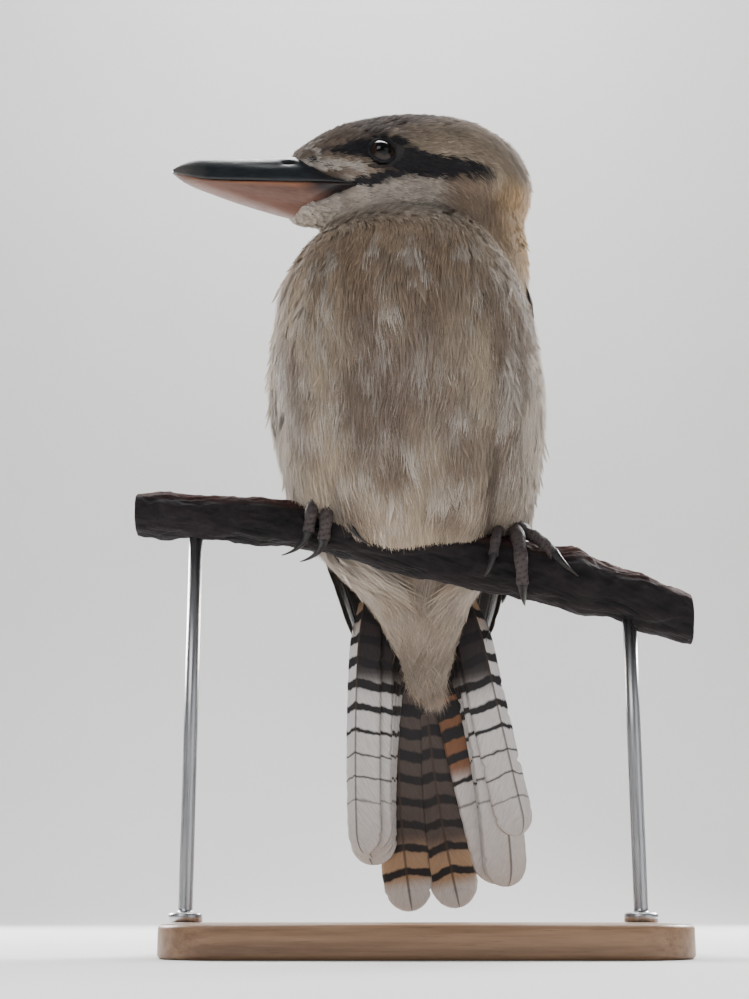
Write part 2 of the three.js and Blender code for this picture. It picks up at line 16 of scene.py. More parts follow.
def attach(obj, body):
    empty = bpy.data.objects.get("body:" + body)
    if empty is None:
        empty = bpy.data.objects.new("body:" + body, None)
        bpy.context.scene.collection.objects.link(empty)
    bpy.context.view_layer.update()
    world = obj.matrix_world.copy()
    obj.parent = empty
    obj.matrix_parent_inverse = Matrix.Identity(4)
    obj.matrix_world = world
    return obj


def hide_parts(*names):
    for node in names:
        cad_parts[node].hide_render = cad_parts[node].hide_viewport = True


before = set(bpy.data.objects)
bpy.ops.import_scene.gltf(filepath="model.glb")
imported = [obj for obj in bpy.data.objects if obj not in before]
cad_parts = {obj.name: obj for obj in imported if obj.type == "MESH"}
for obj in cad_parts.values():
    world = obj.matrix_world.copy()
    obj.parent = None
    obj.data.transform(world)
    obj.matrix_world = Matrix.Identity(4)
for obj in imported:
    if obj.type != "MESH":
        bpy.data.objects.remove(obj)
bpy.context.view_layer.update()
MM = 0.001
dice = np.random.default_rng(11)
print("CAD nodes:", len(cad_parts))

# %% [markdown]
# ## The camera
# The photograph looks up at the bird by about fourteen and a half degrees. A camera near the floor, tilted up by
# that angle, gives the same view of the belly and of the underside of the tail, and it needs no lens shift.

# %% Camera
TILT = np.radians(14.5)
camera = bpy.data.objects.new("camera", bpy.data.cameras.new("camera"))
bpy.context.scene.collection.objects.link(camera)
camera.data.sensor_width = 36
camera.data.lens = 57.3
camera.location = (-0.020, -0.6777, 0.018)
camera.rotation_euler = (np.pi / 2 + TILT, 0, 0)
camera.data.clip_start = 0.02
bpy.context.scene.camera = camera
print("camera looks up by", round(float(np.degrees(TILT)), 1), "degrees")

# %% [markdown]
# ## Curves and surfaces as arrays
# Every shape here is a function of two numbers, worked out on a whole grid at once. `profile` turns a few
# named sizes into a smooth curve, and `make_mesh` puts finished arrays into a Blender mesh.

# %% Smooth curves through a few sizes
def profile(rows):
    """A cubic Hermite curve through rows of [key, value, value, ...]; each slope is that of the two neighbours."""
    rows = np.array(rows, float)
    key, value = rows[:, 0], rows[:, 1:]
    before, after = np.maximum(np.arange(len(key)) - 1, 0), np.minimum(np.arange(len(key)) + 1, len(key) - 1)
    slope = (value[after] - value[before]) / (key[after] - key[before])[:, None]

    def at(x):
        x = np.clip(np.asarray(x, float), key[0], key[-1])
        i = np.clip(np.searchsorted(key, x, side="right") - 1, 0, len(key) - 2)
        step = (key[i + 1] - key[i])[..., None]
        t = (x - key[i])[..., None] / step
        return ((2 * t**3 - 3 * t**2 + 1) * value[i] + (t**3 - 2 * t**2 + t) * step * slope[i]
                + (3 * t**2 - 2 * t**3) * value[i + 1] + (t**3 - t**2) * step * slope[i + 1])

    return at


def ease(x, low=0.0, high=1.0):
    """0 below low, 1 above high, and 3t^2 - 2t^3 between."""
    t = np.clip((np.asarray(x, float) - low) / (high - low), 0, 1)
    return t * t * (3 - 2 * t)


def unit(v):
    """Each vector divided by its own length."""
    return v / np.maximum(np.linalg.norm(v, axis=-1, keepdims=True), 1e-12)


def oval(angle, wide, deep, power=0.92):
    """Two offsets that go round a rounded box: sign(cos)|cos|^power wide and sign(sin)|sin|^power deep."""
    c, s = np.cos(angle), np.sin(angle)
    return np.sign(c) * np.abs(c) ** power * wide, np.sign(s) * np.abs(s) ** power * deep


# %% Arrays into a mesh
def make_mesh(name, points, quads=(), tris=(), material=None, uv=None, closed=True, **attributes):
    """points is (n, 3) in millimetres; quads and tris hold vertex numbers; uv is one pair for each vertex.
    Attributes are one number or one colour for each vertex. The faces of a closed piece are turned round if the
    sum of (b - a) x (c - a) . a over its triangles, six times the volume inside, is below zero."""
    points = np.asarray(points, float).reshape(-1, 3)
    quads, tris = np.array(quads, int).reshape(-1, 4), np.array(tris, int).reshape(-1, 3)
    if closed:
        fan = np.concatenate([quads[:, :3], quads[:, [0, 2, 3]], tris])
        a, b, c = points[fan[:, 0]], points[fan[:, 1]], points[fan[:, 2]]
        if (np.cross(b - a, c - a) * (a - points.mean(0))).sum() < 0:
            quads, tris = quads[:, ::-1], tris[:, ::-1]
    corners = np.concatenate([quads.ravel(), tris.ravel()])
    sizes = np.concatenate([np.full(len(quads), 4), np.full(len(tris), 3)])
    mesh = bpy.data.meshes.new(name)
    mesh.vertices.add(len(points))
    mesh.vertices.foreach_set("co", (points * MM).ravel())
    mesh.loops.add(len(corners))
    mesh.loops.foreach_set("vertex_index", corners)
    mesh.polygons.add(len(sizes))
    mesh.polygons.foreach_set("loop_start", np.concatenate([[0], np.cumsum(sizes)[:-1]]))
    mesh.update(calc_edges=True)
    mesh.polygons.foreach_set("use_smooth", np.ones(len(sizes), bool))
    for key, value in attributes.items():
        value = np.asarray(value, float)
        kind = "FLOAT" if value.ndim == 1 else "FLOAT_COLOR"
        layer = mesh.attributes.new(key, kind, "POINT")
        if kind == "FLOAT":
            layer.data.foreach_set("value", value)
        else:
            layer.data.foreach_set("color", np.column_stack([value, np.ones(len(value))]).ravel())
    if uv is not None:
        mesh.uv_layers.new(name="OFBake").data.foreach_set("uv", np.asarray(uv, float)[corners].ravel())
    mesh.validate()
    made = bpy.data.objects.new(name, mesh)
    bpy.context.scene.collection.objects.link(made)
    if material:
        mesh.materials.append(material)
    return made


def tube_faces(rows, columns):
    """Quads of a grid that closes round its columns, and fans to two end points that follow the grid's points."""
    i, j = np.meshgrid(np.arange(rows - 1), np.arange(columns), indexing="ij")
    k = (j + 1) % columns
    quads = np.stack([i * columns + j, i * columns + k, (i + 1) * columns + k, (i + 1) * columns + j], -1)
    j = np.arange(columns)
    k = (j + 1) % columns
    start, end = rows * columns, rows * columns + 1
    first = np.stack([np.full(columns, start), k, j], -1)
    last = np.stack([np.full(columns, end), (rows - 1) * columns + j, (rows - 1) * columns + k], -1)
    return quads.reshape(-1, 4), np.concatenate([first, last])


def tube(grid):
    """Points and faces of a closed tube over a (rows, columns, 3) grid, each end closed at its middle."""
    rows, columns = grid.shape[:2]
    ends = np.stack([grid[0].mean(0), grid[-1].mean(0)])
    return np.concatenate([grid.reshape(-1, 3), ends]), *tube_faces(rows, columns)


def joined(parts):
    """One set of arrays from several (points, quads, tris)."""
    offsets = np.cumsum([0] + [len(p) for p, _, _ in parts])
    return (np.concatenate([p for p, _, _ in parts]),
            np.concatenate([q + o for (_, q, _), o in zip(parts, offsets)]),
            np.concatenate([t + o for (_, _, t), o in zip(parts, offsets)]))


# %% [markdown]
# ## Body forms
# The body is three overlapping forms, as in a taxidermist's manikin: torso, neck and head. The head has its own
# axes, because it is turned to the bird's right. The skin sits a coat's depth inside the outer form.

# %% Torso, neck and head
# TORSO: z, middle x, half width, front y, back y. NECK: z, middle x and y, half length, half width, turn.
# HEAD: distance ahead of the eyes, half width, top, bottom.
TORSO = profile([
    [110, 4, 5, 38, 43], [126, 4, 13, 31, 46], [144, 2, 25, 22, 51], [160, 0, 36, 10, 59], [175, -2, 46, -14, 61],
    [190, -3, 53, -31, 60], [212, -3, 57, -40, 57], [235, -4, 60, -46, 55], [258, -5, 58.5, -50, 52],
    [280, -5.5, 55, -51, 48], [298, -7, 49, -49, 44], [312, -8, 41.5, -44, 39], [320, -9, 31, -35, 30],
    [325, -10, 12, -18, 14]])
NECK = profile([
    [282, 0, 6, 46, 40, 0], [298, 3, 8, 49.5, 40, 8], [312, 4, 8, 49, 38, 18], [328, 4, 7, 48.5, 36, 25],
    [344, 3, 5, 44, 32, 25], [356, 1, 3, 33, 24, 25]])
HEAD = profile([
    [-80, 8, 1, -14], [-75, 20, 10.5, -21], [-66, 29, 21.5, -26], [-50, 35, 28, -29], [-32, 35.5, 30.3, -29],
    [-14, 31.5, 29.6, -29], [0, 25.2, 26.8, -29.5], [12, 20.6, 22, -30], [22, 17.2, 14.5, -29.5],
    [29, 14.8, 8, -28.5], [34, 12.8, 3.6, -27], [37.5, 9.5, 0, -23]])
EYE_LINE = np.array([-25.8, -10, 345])
turn, pitch = np.radians(25), np.radians(3)
FORWARD = np.array([-np.cos(turn) * np.cos(pitch), -np.sin(turn) * np.cos(pitch), -np.sin(pitch)])
LEFT = np.array([np.sin(turn), -np.cos(turn), 0])
UP = np.cross(FORWARD, LEFT)


def in_head(ahead, left, up):
    """A point given ahead of, left of and above the middle of the eye line."""
    return (EYE_LINE + np.multiply.outer(ahead, FORWARD) + np.multiply.outer(left, LEFT) + np.multiply.outer(up, UP))


def head_axes(points):
    """The same three distances for points given in the frame."""
    d = points - EYE_LINE
    return d @ FORWARD, d @ LEFT, d @ UP


def torso_grid(rows, columns, inset):
    """Ovals stacked along z; each has its middle x, half width, front and back from TORSO."""
    z = np.linspace(110 + inset, 325 - inset, rows)[:, None]
    angle = np.linspace(0, 2 * np.pi, columns, endpoint=False)[None]
    x, half, front, back = np.moveaxis(TORSO(z[:, 0]), 1, 0)[..., None]
    middle, deep = (front + back) / 2, (back - front) / 2
    half, deep = np.maximum(half - inset, 2), np.maximum(deep - inset, 2)
    across, along = oval(angle, half, deep)
    return np.stack([x + across, middle + along, z + 0 * along], -1)


def neck_grid(rows, columns, inset):
    """Ovals stacked along z, each turned by its own number of degrees, so that the neck follows the head round."""
    z = np.linspace(282, 356, rows)[:, None]
    angle = np.linspace(0, 2 * np.pi, columns, endpoint=False)[None]
    x, y, long, wide, degrees = np.moveaxis(NECK(z[:, 0]), 1, 0)[..., None]
    a, b = oval(angle, long - inset, wide - inset)
    c, s = np.cos(np.radians(degrees)), np.sin(np.radians(degrees))
    return np.stack([x + a * c - b * s, y + a * s + b * c, z + 0 * a], -1)


def head_grid(rows, columns, inset):
    """Ovals stood across the head's own axis; the inset fades out towards the bill, where the feathers are short."""
    ahead = np.linspace(-80 + inset, 37.5 - inset * 0.4, rows)[:, None]
    angle = np.linspace(0, 2 * np.pi, columns, endpoint=False)[None]
    half, top, bottom = np.moveaxis(HEAD(ahead[:, 0]), 1, 0)[..., None]
    depth = inset * ease(-ahead, -34, -6)
    tall, half = (top - bottom) / 2 - depth, half - depth
    left, up = oval(angle, half, tall, 0.94)
    return in_head(ahead + 0 * left, left, (top + bottom) / 2 + up)


# %% One skin
COAT_DEPTH, HEAD_COAT_DEPTH = 6.0, 4.0
skin = make_mesh("skin", *joined([tube(torso_grid(60, 64, COAT_DEPTH)), tube(neck_grid(24, 60, COAT_DEPTH)),
                                  tube(head_grid(48, 56, HEAD_COAT_DEPTH))]))


def apply_modifiers(piece):
    """Turns the piece's modifiers into plain mesh."""
    graph = bpy.context.evaluated_depsgraph_get()
    mesh = bpy.data.meshes.new_from_object(piece.evaluated_get(graph), depsgraph=graph)
    old, piece.data = piece.data, mesh
    piece.modifiers.clear()
    bpy.data.meshes.remove(old)
    piece.data.name = piece.name


def fuse(piece, voxel, rounds):
    """Joins overlapping tubes into one surface on a grid of voxels, and softens the joins in a few rounds."""
    remesh = piece.modifiers.new("one surface", "REMESH")
    remesh.mode, remesh.voxel_size, remesh.use_smooth_shade = "VOXEL", voxel * MM, True
    soften = piece.modifiers.new("soft joins", "SMOOTH")
    soften.factor, soften.iterations = 0.5, rounds
    apply_modifiers(piece)


def vertex_array(piece):
    """The piece's vertices as an (n, 3) array in millimetres."""
    co = np.empty(len(piece.data.vertices) * 3)
    piece.data.vertices.foreach_get("co", co)
    return co.reshape(-1, 3) / MM


def thigh_crease(x, y, z):
    """1 in the hollows between belly and thighs, two bell curves across the body, and 0 elsewhere."""
    by_left = np.exp(-((x - 29) / 5.0) ** 2) * ease(z, 244, 206)
    by_right = np.exp(-((x + 35) / 5.0) ** 2) * ease(z, 218, 194)
    return (by_left + by_right) * ease(y, 12, -4) * ease(z, 165, 175)


fuse(skin, 2.4, 14)
skin_points = vertex_array(skin)
ahead, left, up = head_axes(skin_points)
eye_gap = np.hypot(ahead, up)
round_eye = 2.7 * ease(eye_gap, 17, 9) * ease(eye_gap, 3.5, 6) * ease(np.abs(left), 8, 14)
MOUTH_UP = -14.2
mouth_gap = np.abs(up - MOUTH_UP) - 0.4 * (ahead - 12)
mouth = 3.0 * ease(ahead, 12, 17) * ease(mouth_gap, 3.5, 0.5) * ease(np.abs(left), 6, 10)
skin_points = skin_points + np.multiply.outer(np.sign(left) * (round_eye - mouth), LEFT)
x, y, z = skin_points.T
flank = ease(-x, 20, 52) * ease(y, 30, 8) * ease(z, 185, 225) * ease(z, 312, 285)
shoulder = ease(-x, 16, 42) * ease(y, 36, 12) * ease(z, 268, 290) * ease(z, 322, 306)
skin_points[:, 0] -= 2.6 * flank + 4.0 * shoulder
skin_points[:, 0] -= (x - TORSO(z)[:, 0]) * (0.42 * ease(z, 192, 144) + 0.14 * ease(z, 140, 118))
skin_points[:, 1] += 4.6 * thigh_crease(x, y, z)
skin.data.vertices.foreach_set("co", (skin_points * MM).ravel())
skin.data.update()
print("skin vertices:", len(skin_points))

# %% [markdown]
# ## The lie of the plumage
# Feathers point away from the bill over the head, and down over the neck and body. The direction is one smooth
# field, so neighbouring feathers agree, with a slow wave added so that they don't look combed.

# %% Feather directions
tree = BVHTree.FromPolygons([Vector(p) for p in skin_points], [p.vertices[:] for p in skin.data.polygons])


def on_skin(points):
    """The nearest skin point and its normal for each given point."""
    found = [tree.find_nearest(Vector(p)) for p in points]
    return np.array([f[0][:] for f in found]), np.array([f[1][:] for f in found])


def lie(points, normals):
    """Unit direction in the surface: backwards over the head, turning down over the neck, then down the body."""
    ahead, left, up = head_axes(points)
    down = np.maximum(ease(-ahead + np.maximum(-up, 0) * 1.5, 14, 92), ease(points[:, 2], 319, 303))[:, None]
    wave = np.stack([np.sin(points[:, 2] * 0.11 + points[:, 1] * 0.07), 0 * left,
                     np.sin(points[:, 0] * 0.13)], -1) * 0.10
    spread = np.stack([(points[:, 0] + 4) / 60, 0 * left, 0 * left], -1) * 0.12 * ease(points[:, 2], 330, 190)[:, None]
    flank = ease(np.abs(points[:, 0] + 4), 34, 56) * ease(points[:, 1], 44, 16) * ease(points[:, 2], 318, 290)
    body = np.array([0.0, 0.0, -1.0]) + spread + np.stack([0 * left, 0.34 * flank, 0 * left], -1)
    outwards = np.sign(left) * ease(np.abs(left), 4, 24) * 0.25
    head = -FORWARD + np.multiply.outer(outwards, LEFT) + np.array([0, 0, -0.14])
    way = head * (1 - down) + body * down + wave
    return unit(way - normals * (way * normals).sum(1, keepdims=True))


# %% [markdown]
# ## Markings and painted light
# The same colours go on the skin and on the feathers over it, so that no bare patch shows. A kookaburra has a
# mottled brown crown, a pale brow, a dark stripe through the eye, a whitish throat and a cream breast with a
# buff wash, and a dark brown back. Each marking is a soft mask in the head's or the body's own distances.
# Some masks paint light instead of a marking: painted shade in the thigh hollows, down the middle of the breast
# and in the middle of the undertail, and painted rim light that pales the body's sides.

# %% Colours of the plumage
CREAM = np.array([0.41, 0.33, 0.245])
WHITE = np.array([0.56, 0.51, 0.455])
BUFF = np.array([0.31, 0.205, 0.12])
GREY_BROWN = np.array([0.185, 0.135, 0.105])
BROW = np.array([0.30, 0.235, 0.175])
CHEEK = np.array([0.25, 0.18, 0.13])
NAPE = np.array([0.50, 0.325, 0.165])
CROWN = np.array([0.085, 0.064, 0.055])
STRIPE = np.array([0.012, 0.012, 0.017])
MANTLE = np.array([0.052, 0.036, 0.027])
RUMP = np.array([0.17, 0.085, 0.045])


def mottle(points, size, seed):
    """Soft blotches from a sum of eight waves in fixed random directions, from 0 to 1."""
    rng = np.random.default_rng(seed)
    waves = unit(rng.normal(size=(8, 3))) * rng.uniform(0.6, 1.5, (8, 1)) * 2 * np.pi / size
    return 0.5 + 0.5 * np.sin(points @ waves.T + rng.uniform(0, 6.3, 8)).mean(1) * 2.0


def blend(base, colour, mask):
    """base moved towards colour by the mask, from 0 to 1."""
    return base + (colour - base) * np.clip(mask, 0, 1)[:, None]


def edge_line(ahead, places, heights):
    """Height of a marking's edge over the head's length, straight between named places."""
    return np.interp(-ahead, -np.array(places, float), heights)


def markings_and_painted_light(points):
    """Linear colour of the plumage at each point: each line lays one marking, painted shade or painted rim light over
    the last, where its mask is 1.
    """
    x, y, z = points.T
    ahead, left, up = head_axes(points)
    side = np.abs(left)
    blotch = mottle(points * [1, 1, 0.75], 26, 3)
    tone = np.repeat(CREAM[None], len(points), 0)
    tone = blend(tone, GREY_BROWN, 0.80 * ease(blotch, 0.28, 0.70) * ease(z, 326, 270) * ease(z, 168, 200))
    # Painted shade: the middle of the breast and upper belly is darkened towards grey-brown.
    painted_middle_shade = ease(np.abs(x + 10), 36, 10) * ease(z, 318, 296) * ease(z, 195, 240)
    tone = blend(tone, GREY_BROWN, 0.62 * painted_middle_shade)
    tone = blend(tone, BUFF, 0.60 * ease(z, 250, 312) * ease(z, 350, 322) * (0.4 + 0.6 * mottle(points, 40, 5)))
    # The lower belly whitens to its own pale colour; the body's sides are paled by painted rim light.
    tone = blend(tone, WHITE, 0.25 * ease(z, 190, 150) + 0.35 * ease(np.abs(x + 4), 34, 56) * ease(z, 290, 240))
    streaks = ease(mottle(points * [1, 1, 0.3], 8, 17), 0.56, 0.86) * ease(z, 312, 290)
    tone = blend(tone, WHITE, 0.62 * streaks)
    # Painted shade: the middle of the undertail is darkened towards grey-brown.
    tone = blend(tone, GREY_BROWN * 1.15, 0.42 * ease(np.abs(x + 1), 32, 10) * ease(z, 182, 168))
    tone = blend(tone, WHITE, 0.6 * ease(np.abs(x + 1), 24, 32) * ease(z, 180, 168))
    # Painted shade in the hollows between the belly and the thighs.
    tone = blend(tone, GREY_BROWN * 0.6, 0.85 * thigh_crease(x, y, z))
    back = ease(y - TORSO(z)[:, 2:].mean(1), 8, 22) * ease(z, 322, 302)
    tone = blend(tone, MANTLE, back)
    tone = blend(tone, RUMP, back * ease(z, 214, 196) * 0.8)
    on_head = ease(z, 312, 324)
    tone = blend(tone, CHEEK, on_head * ease(ahead, -74, -52) * ease(up, -2, -10))
    pale = ease(ahead, -30, -16) * ease(up, -8, -11) * ease(z, 306, 318)
    tone = blend(tone, WHITE, pale * (0.42 + 0.35 * mottle(points, 5, 31)))
    nape = ease(-ahead, 44, 66) * ease(z, 290, 312)
    tone = blend(tone, NAPE, nape * 0.85)
    brow = on_head * ease(up, -2, 3) * ease(-ahead, 86, 70)
    tone = blend(tone, BROW, brow)
    cap = edge_line(ahead, [36, 24, 12, 4, 0, -6, -12, -30, -50, -66], [1, 2, 3.5, 7, 9, 12, 15, 20.5, 26, 32])
    ragged = 2.2 * np.sin(ahead * 0.9 + 3 * np.sin(left * 0.6))
    crown = ease(up - cap + ragged, -3, 3) * on_head
    dark_cap = CROWN * (1 + 1.1 * ease(-ahead, 0, 60))[:, None]
    tone = tone * (1 - crown[:, None]) + dark_cap * crown[:, None]
    tone = blend(tone, BROW, crown * 0.30 * ease(mottle(points, 5, 9), 0.55, 0.8))
    tone = blend(tone, CROWN * 2.2, brow * 0.5 * ease(up, 4, 14) * ease(mottle(points, 6, 28), 0.45, 0.75))
    lore = ease(ahead, 5, 14) * ease(up, -12, -8) * on_head
    tone = blend(tone, GREY_BROWN, lore * 0.72)
    nape_cap = ease(side, 15, 7) * ease(up, -8, 8) * ease(-ahead, 30, 46) * on_head
    tone = blend(tone, CROWN * 1.1, nape_cap * 0.95 * ease(mottle(points, 7, 14), 0.15, 0.5))
    fleck = ease(ahead, 22, 31) * ease(up, -14, -6) * on_head
    tone = blend(tone, WHITE, fleck * 0.7 * ease(mottle(points, 4, 12), 0.35, 0.65))
    tone = blend(tone, WHITE, lore * 0.7 * ease(np.abs(up + 6.3 - 0.12 * (ahead - 16)), 2.6, 0.9))
    top = edge_line(ahead, [26, 20, 10, 0, -8, -12, -22, -40, -46, -54], [1, 3, 6, 7.5, 3, 1.8, -1.2, -1.0, -1.6, -2.5])
    low = edge_line(ahead, [26, 20, 10, 0, -12, -22, -40, -46, -54], [0, -1, -3.5, -8, -10.5, -10.6, -5.6, -4.6, -4])
    stripe = ease(top - up, -1.5, 1.3) * ease(up - low, -1.5, 1.3) * ease(side, 7, 12) * ease(ahead, -50, -42)
    line = edge_line(ahead, [20, 12, 0, -10], [-13.6, -12.5, -10.5, -8.5])
    gape = ease(np.abs(up - line), 3.0, 1.2) * ease(ahead, -12, -6) * ease(ahead, 26, 20) * ease(side, 9, 13)
    stripe = np.maximum(stripe, gape)
    ring = ease(np.hypot(ahead * 0.85, up), 9.4, 7.6) * ease(side, 12, 17)
    tone = blend(tone, STRIPE, np.maximum(stripe * (ahead < 27), ring) * 0.97)
    fade = 0.88 + 0.24 * mottle(points, 15, 21)
    return np.clip(tone * fade[:, None], 0.01, 0.95)


# %% [markdown]
# ## Unwrapping the skin
# Each feather has a small patch of its own in the baked texture, at its root's place on the skin. The skin is
# close to an upright cylinder, so the angle round it and the height give that place.

# %% Places on the unwrap
MARGIN, TURN_WIDTH, FULL_HEIGHT = 0.02, 0.92, 0.94
PATCH_HALF_WIDTH, PATCH_LENGTH = 0.0013, 0.0026


def unwrap(points):
    """The angle round the upright axis and the height, both scaled to stay between 0 and 1."""
    angle = np.arctan2(points[:, 1] - 6, points[:, 0] + 2) / (2 * np.pi) + 0.5
    return np.stack([MARGIN + TURN_WIDTH * angle, MARGIN + FULL_HEIGHT * (points[:, 2] - 100) / 290], -1)


def unwrap_skin(piece, points):
    """The unwrap in the piece's corners; a face that crosses the seam keeps all of its corners on one side."""
    mesh = piece.data
    corner = np.empty(len(mesh.loops), int)
    mesh.loops.foreach_get("vertex_index", corner)
    start, total = np.empty(len(mesh.polygons), int), np.empty(len(mesh.polygons), int)
    mesh.polygons.foreach_get("loop_start", start)
    mesh.polygons.foreach_get("loop_total", total)
    uv = unwrap(points)[corner]
    highest = np.maximum.reduceat(uv[:, 0], start)
    uv[:, 0] += np.where(np.repeat(highest, total) - uv[:, 0] > TURN_WIDTH / 2, TURN_WIDTH, 0)
    mesh.uv_layers.new(name="OFBake").data.foreach_set("uv", uv.ravel())


unwrap_skin(skin, skin_points)
layer = skin.data.attributes.new("tint", "FLOAT_COLOR", "POINT")
layer.data.foreach_set("color", np.column_stack([markings_and_painted_light(skin_points) * 0.8, np.ones(len(skin_points))]).ravel())
print("skin faces:", len(skin.data.polygons))

# %% [markdown]
# ## Materials from nodes
# A small helper makes a Principled material and links its nodes. A plain number stays on the shader's own socket.

# %% Node helpers
class Surface:
    """A Principled material whose nodes are added with `node` and joined with `link`."""

    def __init__(self, name, roughness=0.6, **sockets):
        self.material = bpy.data.materials.new(name)
        self.material.use_nodes = True
        self.tree = self.material.node_tree
        self.shader = self.tree.nodes["Principled BSDF"]
        self.shader.inputs["Roughness"].default_value = roughness
        for key, value in sockets.items():
            self.shader.inputs[key.replace("_", " ")].default_value = value

    def node(self, kind, values=(), **settings):
        """A node of the kind; values are for its sockets, settings for its menus."""
        made = self.tree.nodes.new("ShaderNode" + kind)
        for key, value in settings.items():
            setattr(made, key, value)
        for key, value in dict(values).items():
            self.link(value, made.inputs[key])
        return made

    def link(self, value, socket):
        """Joins another node's socket, or sets a plain value."""
        if isinstance(value, bpy.types.NodeSocket):
            self.tree.links.new(value, socket)
        else:
            socket.default_value = value

    def attribute(self, name, output="Fac"):
        return self.node("Attribute", attribute_name=name).outputs[output]

    def maths(self, operation, a, b=0.0):
        return self.node("Math", {0: a, 1: b}, operation=operation).outputs[0]

    def spread(self, value, low, high, start=0.0, end=1.0):
        """start + (end - start) (value - low) / (high - low), held between start and end."""
        return self.node("MapRange", {"Value": value, "From Min": low, "From Max": high, "To Min": start,
                                      "To Max": end}).outputs["Result"]

    def mix(self, share, a, b, blend_type="MIX"):
        """a (1 - share) + b share, or a times b for MULTIPLY."""
        made = self.node("Mix", data_type="RGBA", blend_type=blend_type)
        for value, socket in ((share, made.inputs[0]), (a, made.inputs[6]), (b, made.inputs[7])):
            if isinstance(value, (tuple, list, np.ndarray)):
                value = tuple(float(v) for v in value[:3]) + (1.0,)
            self.link(value, socket)
        return made.outputs[2]

    def place(self, scale=(1, 1, 1)):
        """Object coordinates, stretched by a Mapping node."""
        where = self.node("TexCoord").outputs["Object"]
        return self.node("Mapping", {"Vector": where, "Scale": scale}).outputs["Vector"]

    def noise(self, vector, scale, detail=3.0, roughness=0.5):
        return self.node("TexNoise", {"Vector": vector, "Scale": scale, "Detail": detail,
                                      "Roughness": roughness}).outputs["Fac"]

    def finish(self, colour, height=None, strength=0.3, distance=0.0005, roughness=None):
        """Puts the colour, a bump from the height and the roughness on the shader; distance is in metres."""
        self.link(colour, self.shader.inputs["Base Color"])
        if height is not None:
            bump = self.node("Bump", {"Height": height, "Strength": strength, "Distance": distance})
            self.link(bump.outputs["Normal"], self.shader.inputs["Normal"])
        if roughness is not None:
            self.link(roughness, self.shader.inputs["Roughness"])
        return self.material


# %% Soft plumage
def plumage():
    """Feather tint, streaked along the barbs; darker at the root, paler at the tip's fringe."""
    s = Surface("soft plumage", 0.8, Sheen_Weight=0.10, Sheen_Roughness=0.5, Specular_IOR_Level=0.2)
    tint = s.attribute("tint", "Color")
    along, across, luck = s.attribute("along"), s.attribute("across"), s.attribute("luck")
    slant = s.maths("ADD", s.maths("MULTIPLY", along, 0.55), s.maths("ABSOLUTE", across))
    spot = s.node("CombineXYZ", {"X": s.maths("MULTIPLY", across, 6.0), "Y": s.maths("MULTIPLY", slant, 0.6),
                                 "Z": s.maths("MULTIPLY", luck, 40.0)}).outputs[0]
    fibre = s.noise(spot, 55 / 12, 2.0, 0.6)
    shaded = s.mix(s.spread(fibre, 0.3, 0.7, 0.0, 0.35), tint, s.mix(1.0, tint, (0.42, 0.39, 0.38), "MULTIPLY"))
    rooted = s.mix(s.spread(along, 0.0, 0.5, 0.5, 0.0), shaded, s.mix(1.0, tint, (0.36, 0.33, 0.33), "MULTIPLY"))
    at_tip = s.spread(along, 0.70, 1.0, 0.0, 0.6)
    paler = s.node("VectorMath", {0: tint, 1: (1.5, 1.5, 1.5)}, operation="MULTIPLY").outputs[0]
    return s.finish(s.mix(at_tip, rooted, paler), fibre, 0.35, 0.0003)


soft_plumage = plumage()
s = Surface("plumage skin", 0.85)
down = s.mix(s.spread(s.noise(s.place(), 420, 3), 0.35, 0.65, 0.0, 0.35), s.attribute("tint", "Color"),
             (0.05, 0.04, 0.036))
skin.data.materials.append(s.finish(down, s.noise(s.place((1, 1, 0.25)), 900, 3), 0.4))

# %% [markdown]
# ## The coat
# A body feather is a small cupped vane whose barbs come apart at its tip. Each one here is a strip of the skin's
# surface, raised a little from root to tip and bent down at its edges, with loose tapering barbs that run past it.
# Roots are spread one to a skin face, and two to a face on the head, which is even without being a grid.

# %% Roots on the skin
def roots_per_face(keep):
    """One random point in each skin face, kept with the chance that keep(points) gives."""
    mesh = skin.data
    quads = np.array([p.vertices[:] for p in mesh.polygons if len(p.vertices) == 4])
    a, b, c, d = (skin_points[quads[:, k]] for k in range(4))
    u, v = dice.random((2, len(quads), 1))
    points = (a * (1 - u) + b * u) * (1 - v) + (d * (1 - u) + c * u) * v
    return points[dice.random(len(points)) < keep(points)]


def guides(roots, lengths, rows):
    """A path for each root: steps along the lie of the plumage, each put back on the skin."""
    points, normals = on_skin(roots)
    way = lie(points, normals)
    turn = dice.normal(0, 0.14, len(points))[:, None]
    way = unit(way + np.cross(normals, way) * turn)
    path, facing = [points], [normals]
    for _ in range(rows - 1):
        points = points + way * (lengths / (rows - 1))[:, None]
        points, normals = on_skin(points)
        new = lie(points, normals)
        new = unit(new + np.cross(normals, new) * turn)
        way = unit(way * 0.4 + new * 0.6)
        path.append(points)
        facing.append(normals)
    return np.stack(path, 1), np.stack(facing, 1)


def strip_faces(count, rows, columns):
    """Quads of many small grids, one after another."""
    i, j = np.meshgrid(np.arange(rows - 1), np.arange(columns - 1), indexing="ij")
    quad = np.stack([i * columns + j, i * columns + j + 1, (i + 1) * columns + j + 1, (i + 1) * columns + j], -1)
    return (np.arange(count)[:, None, None] * rows * columns + quad.reshape(1, -1, 4)).reshape(-1, 4)


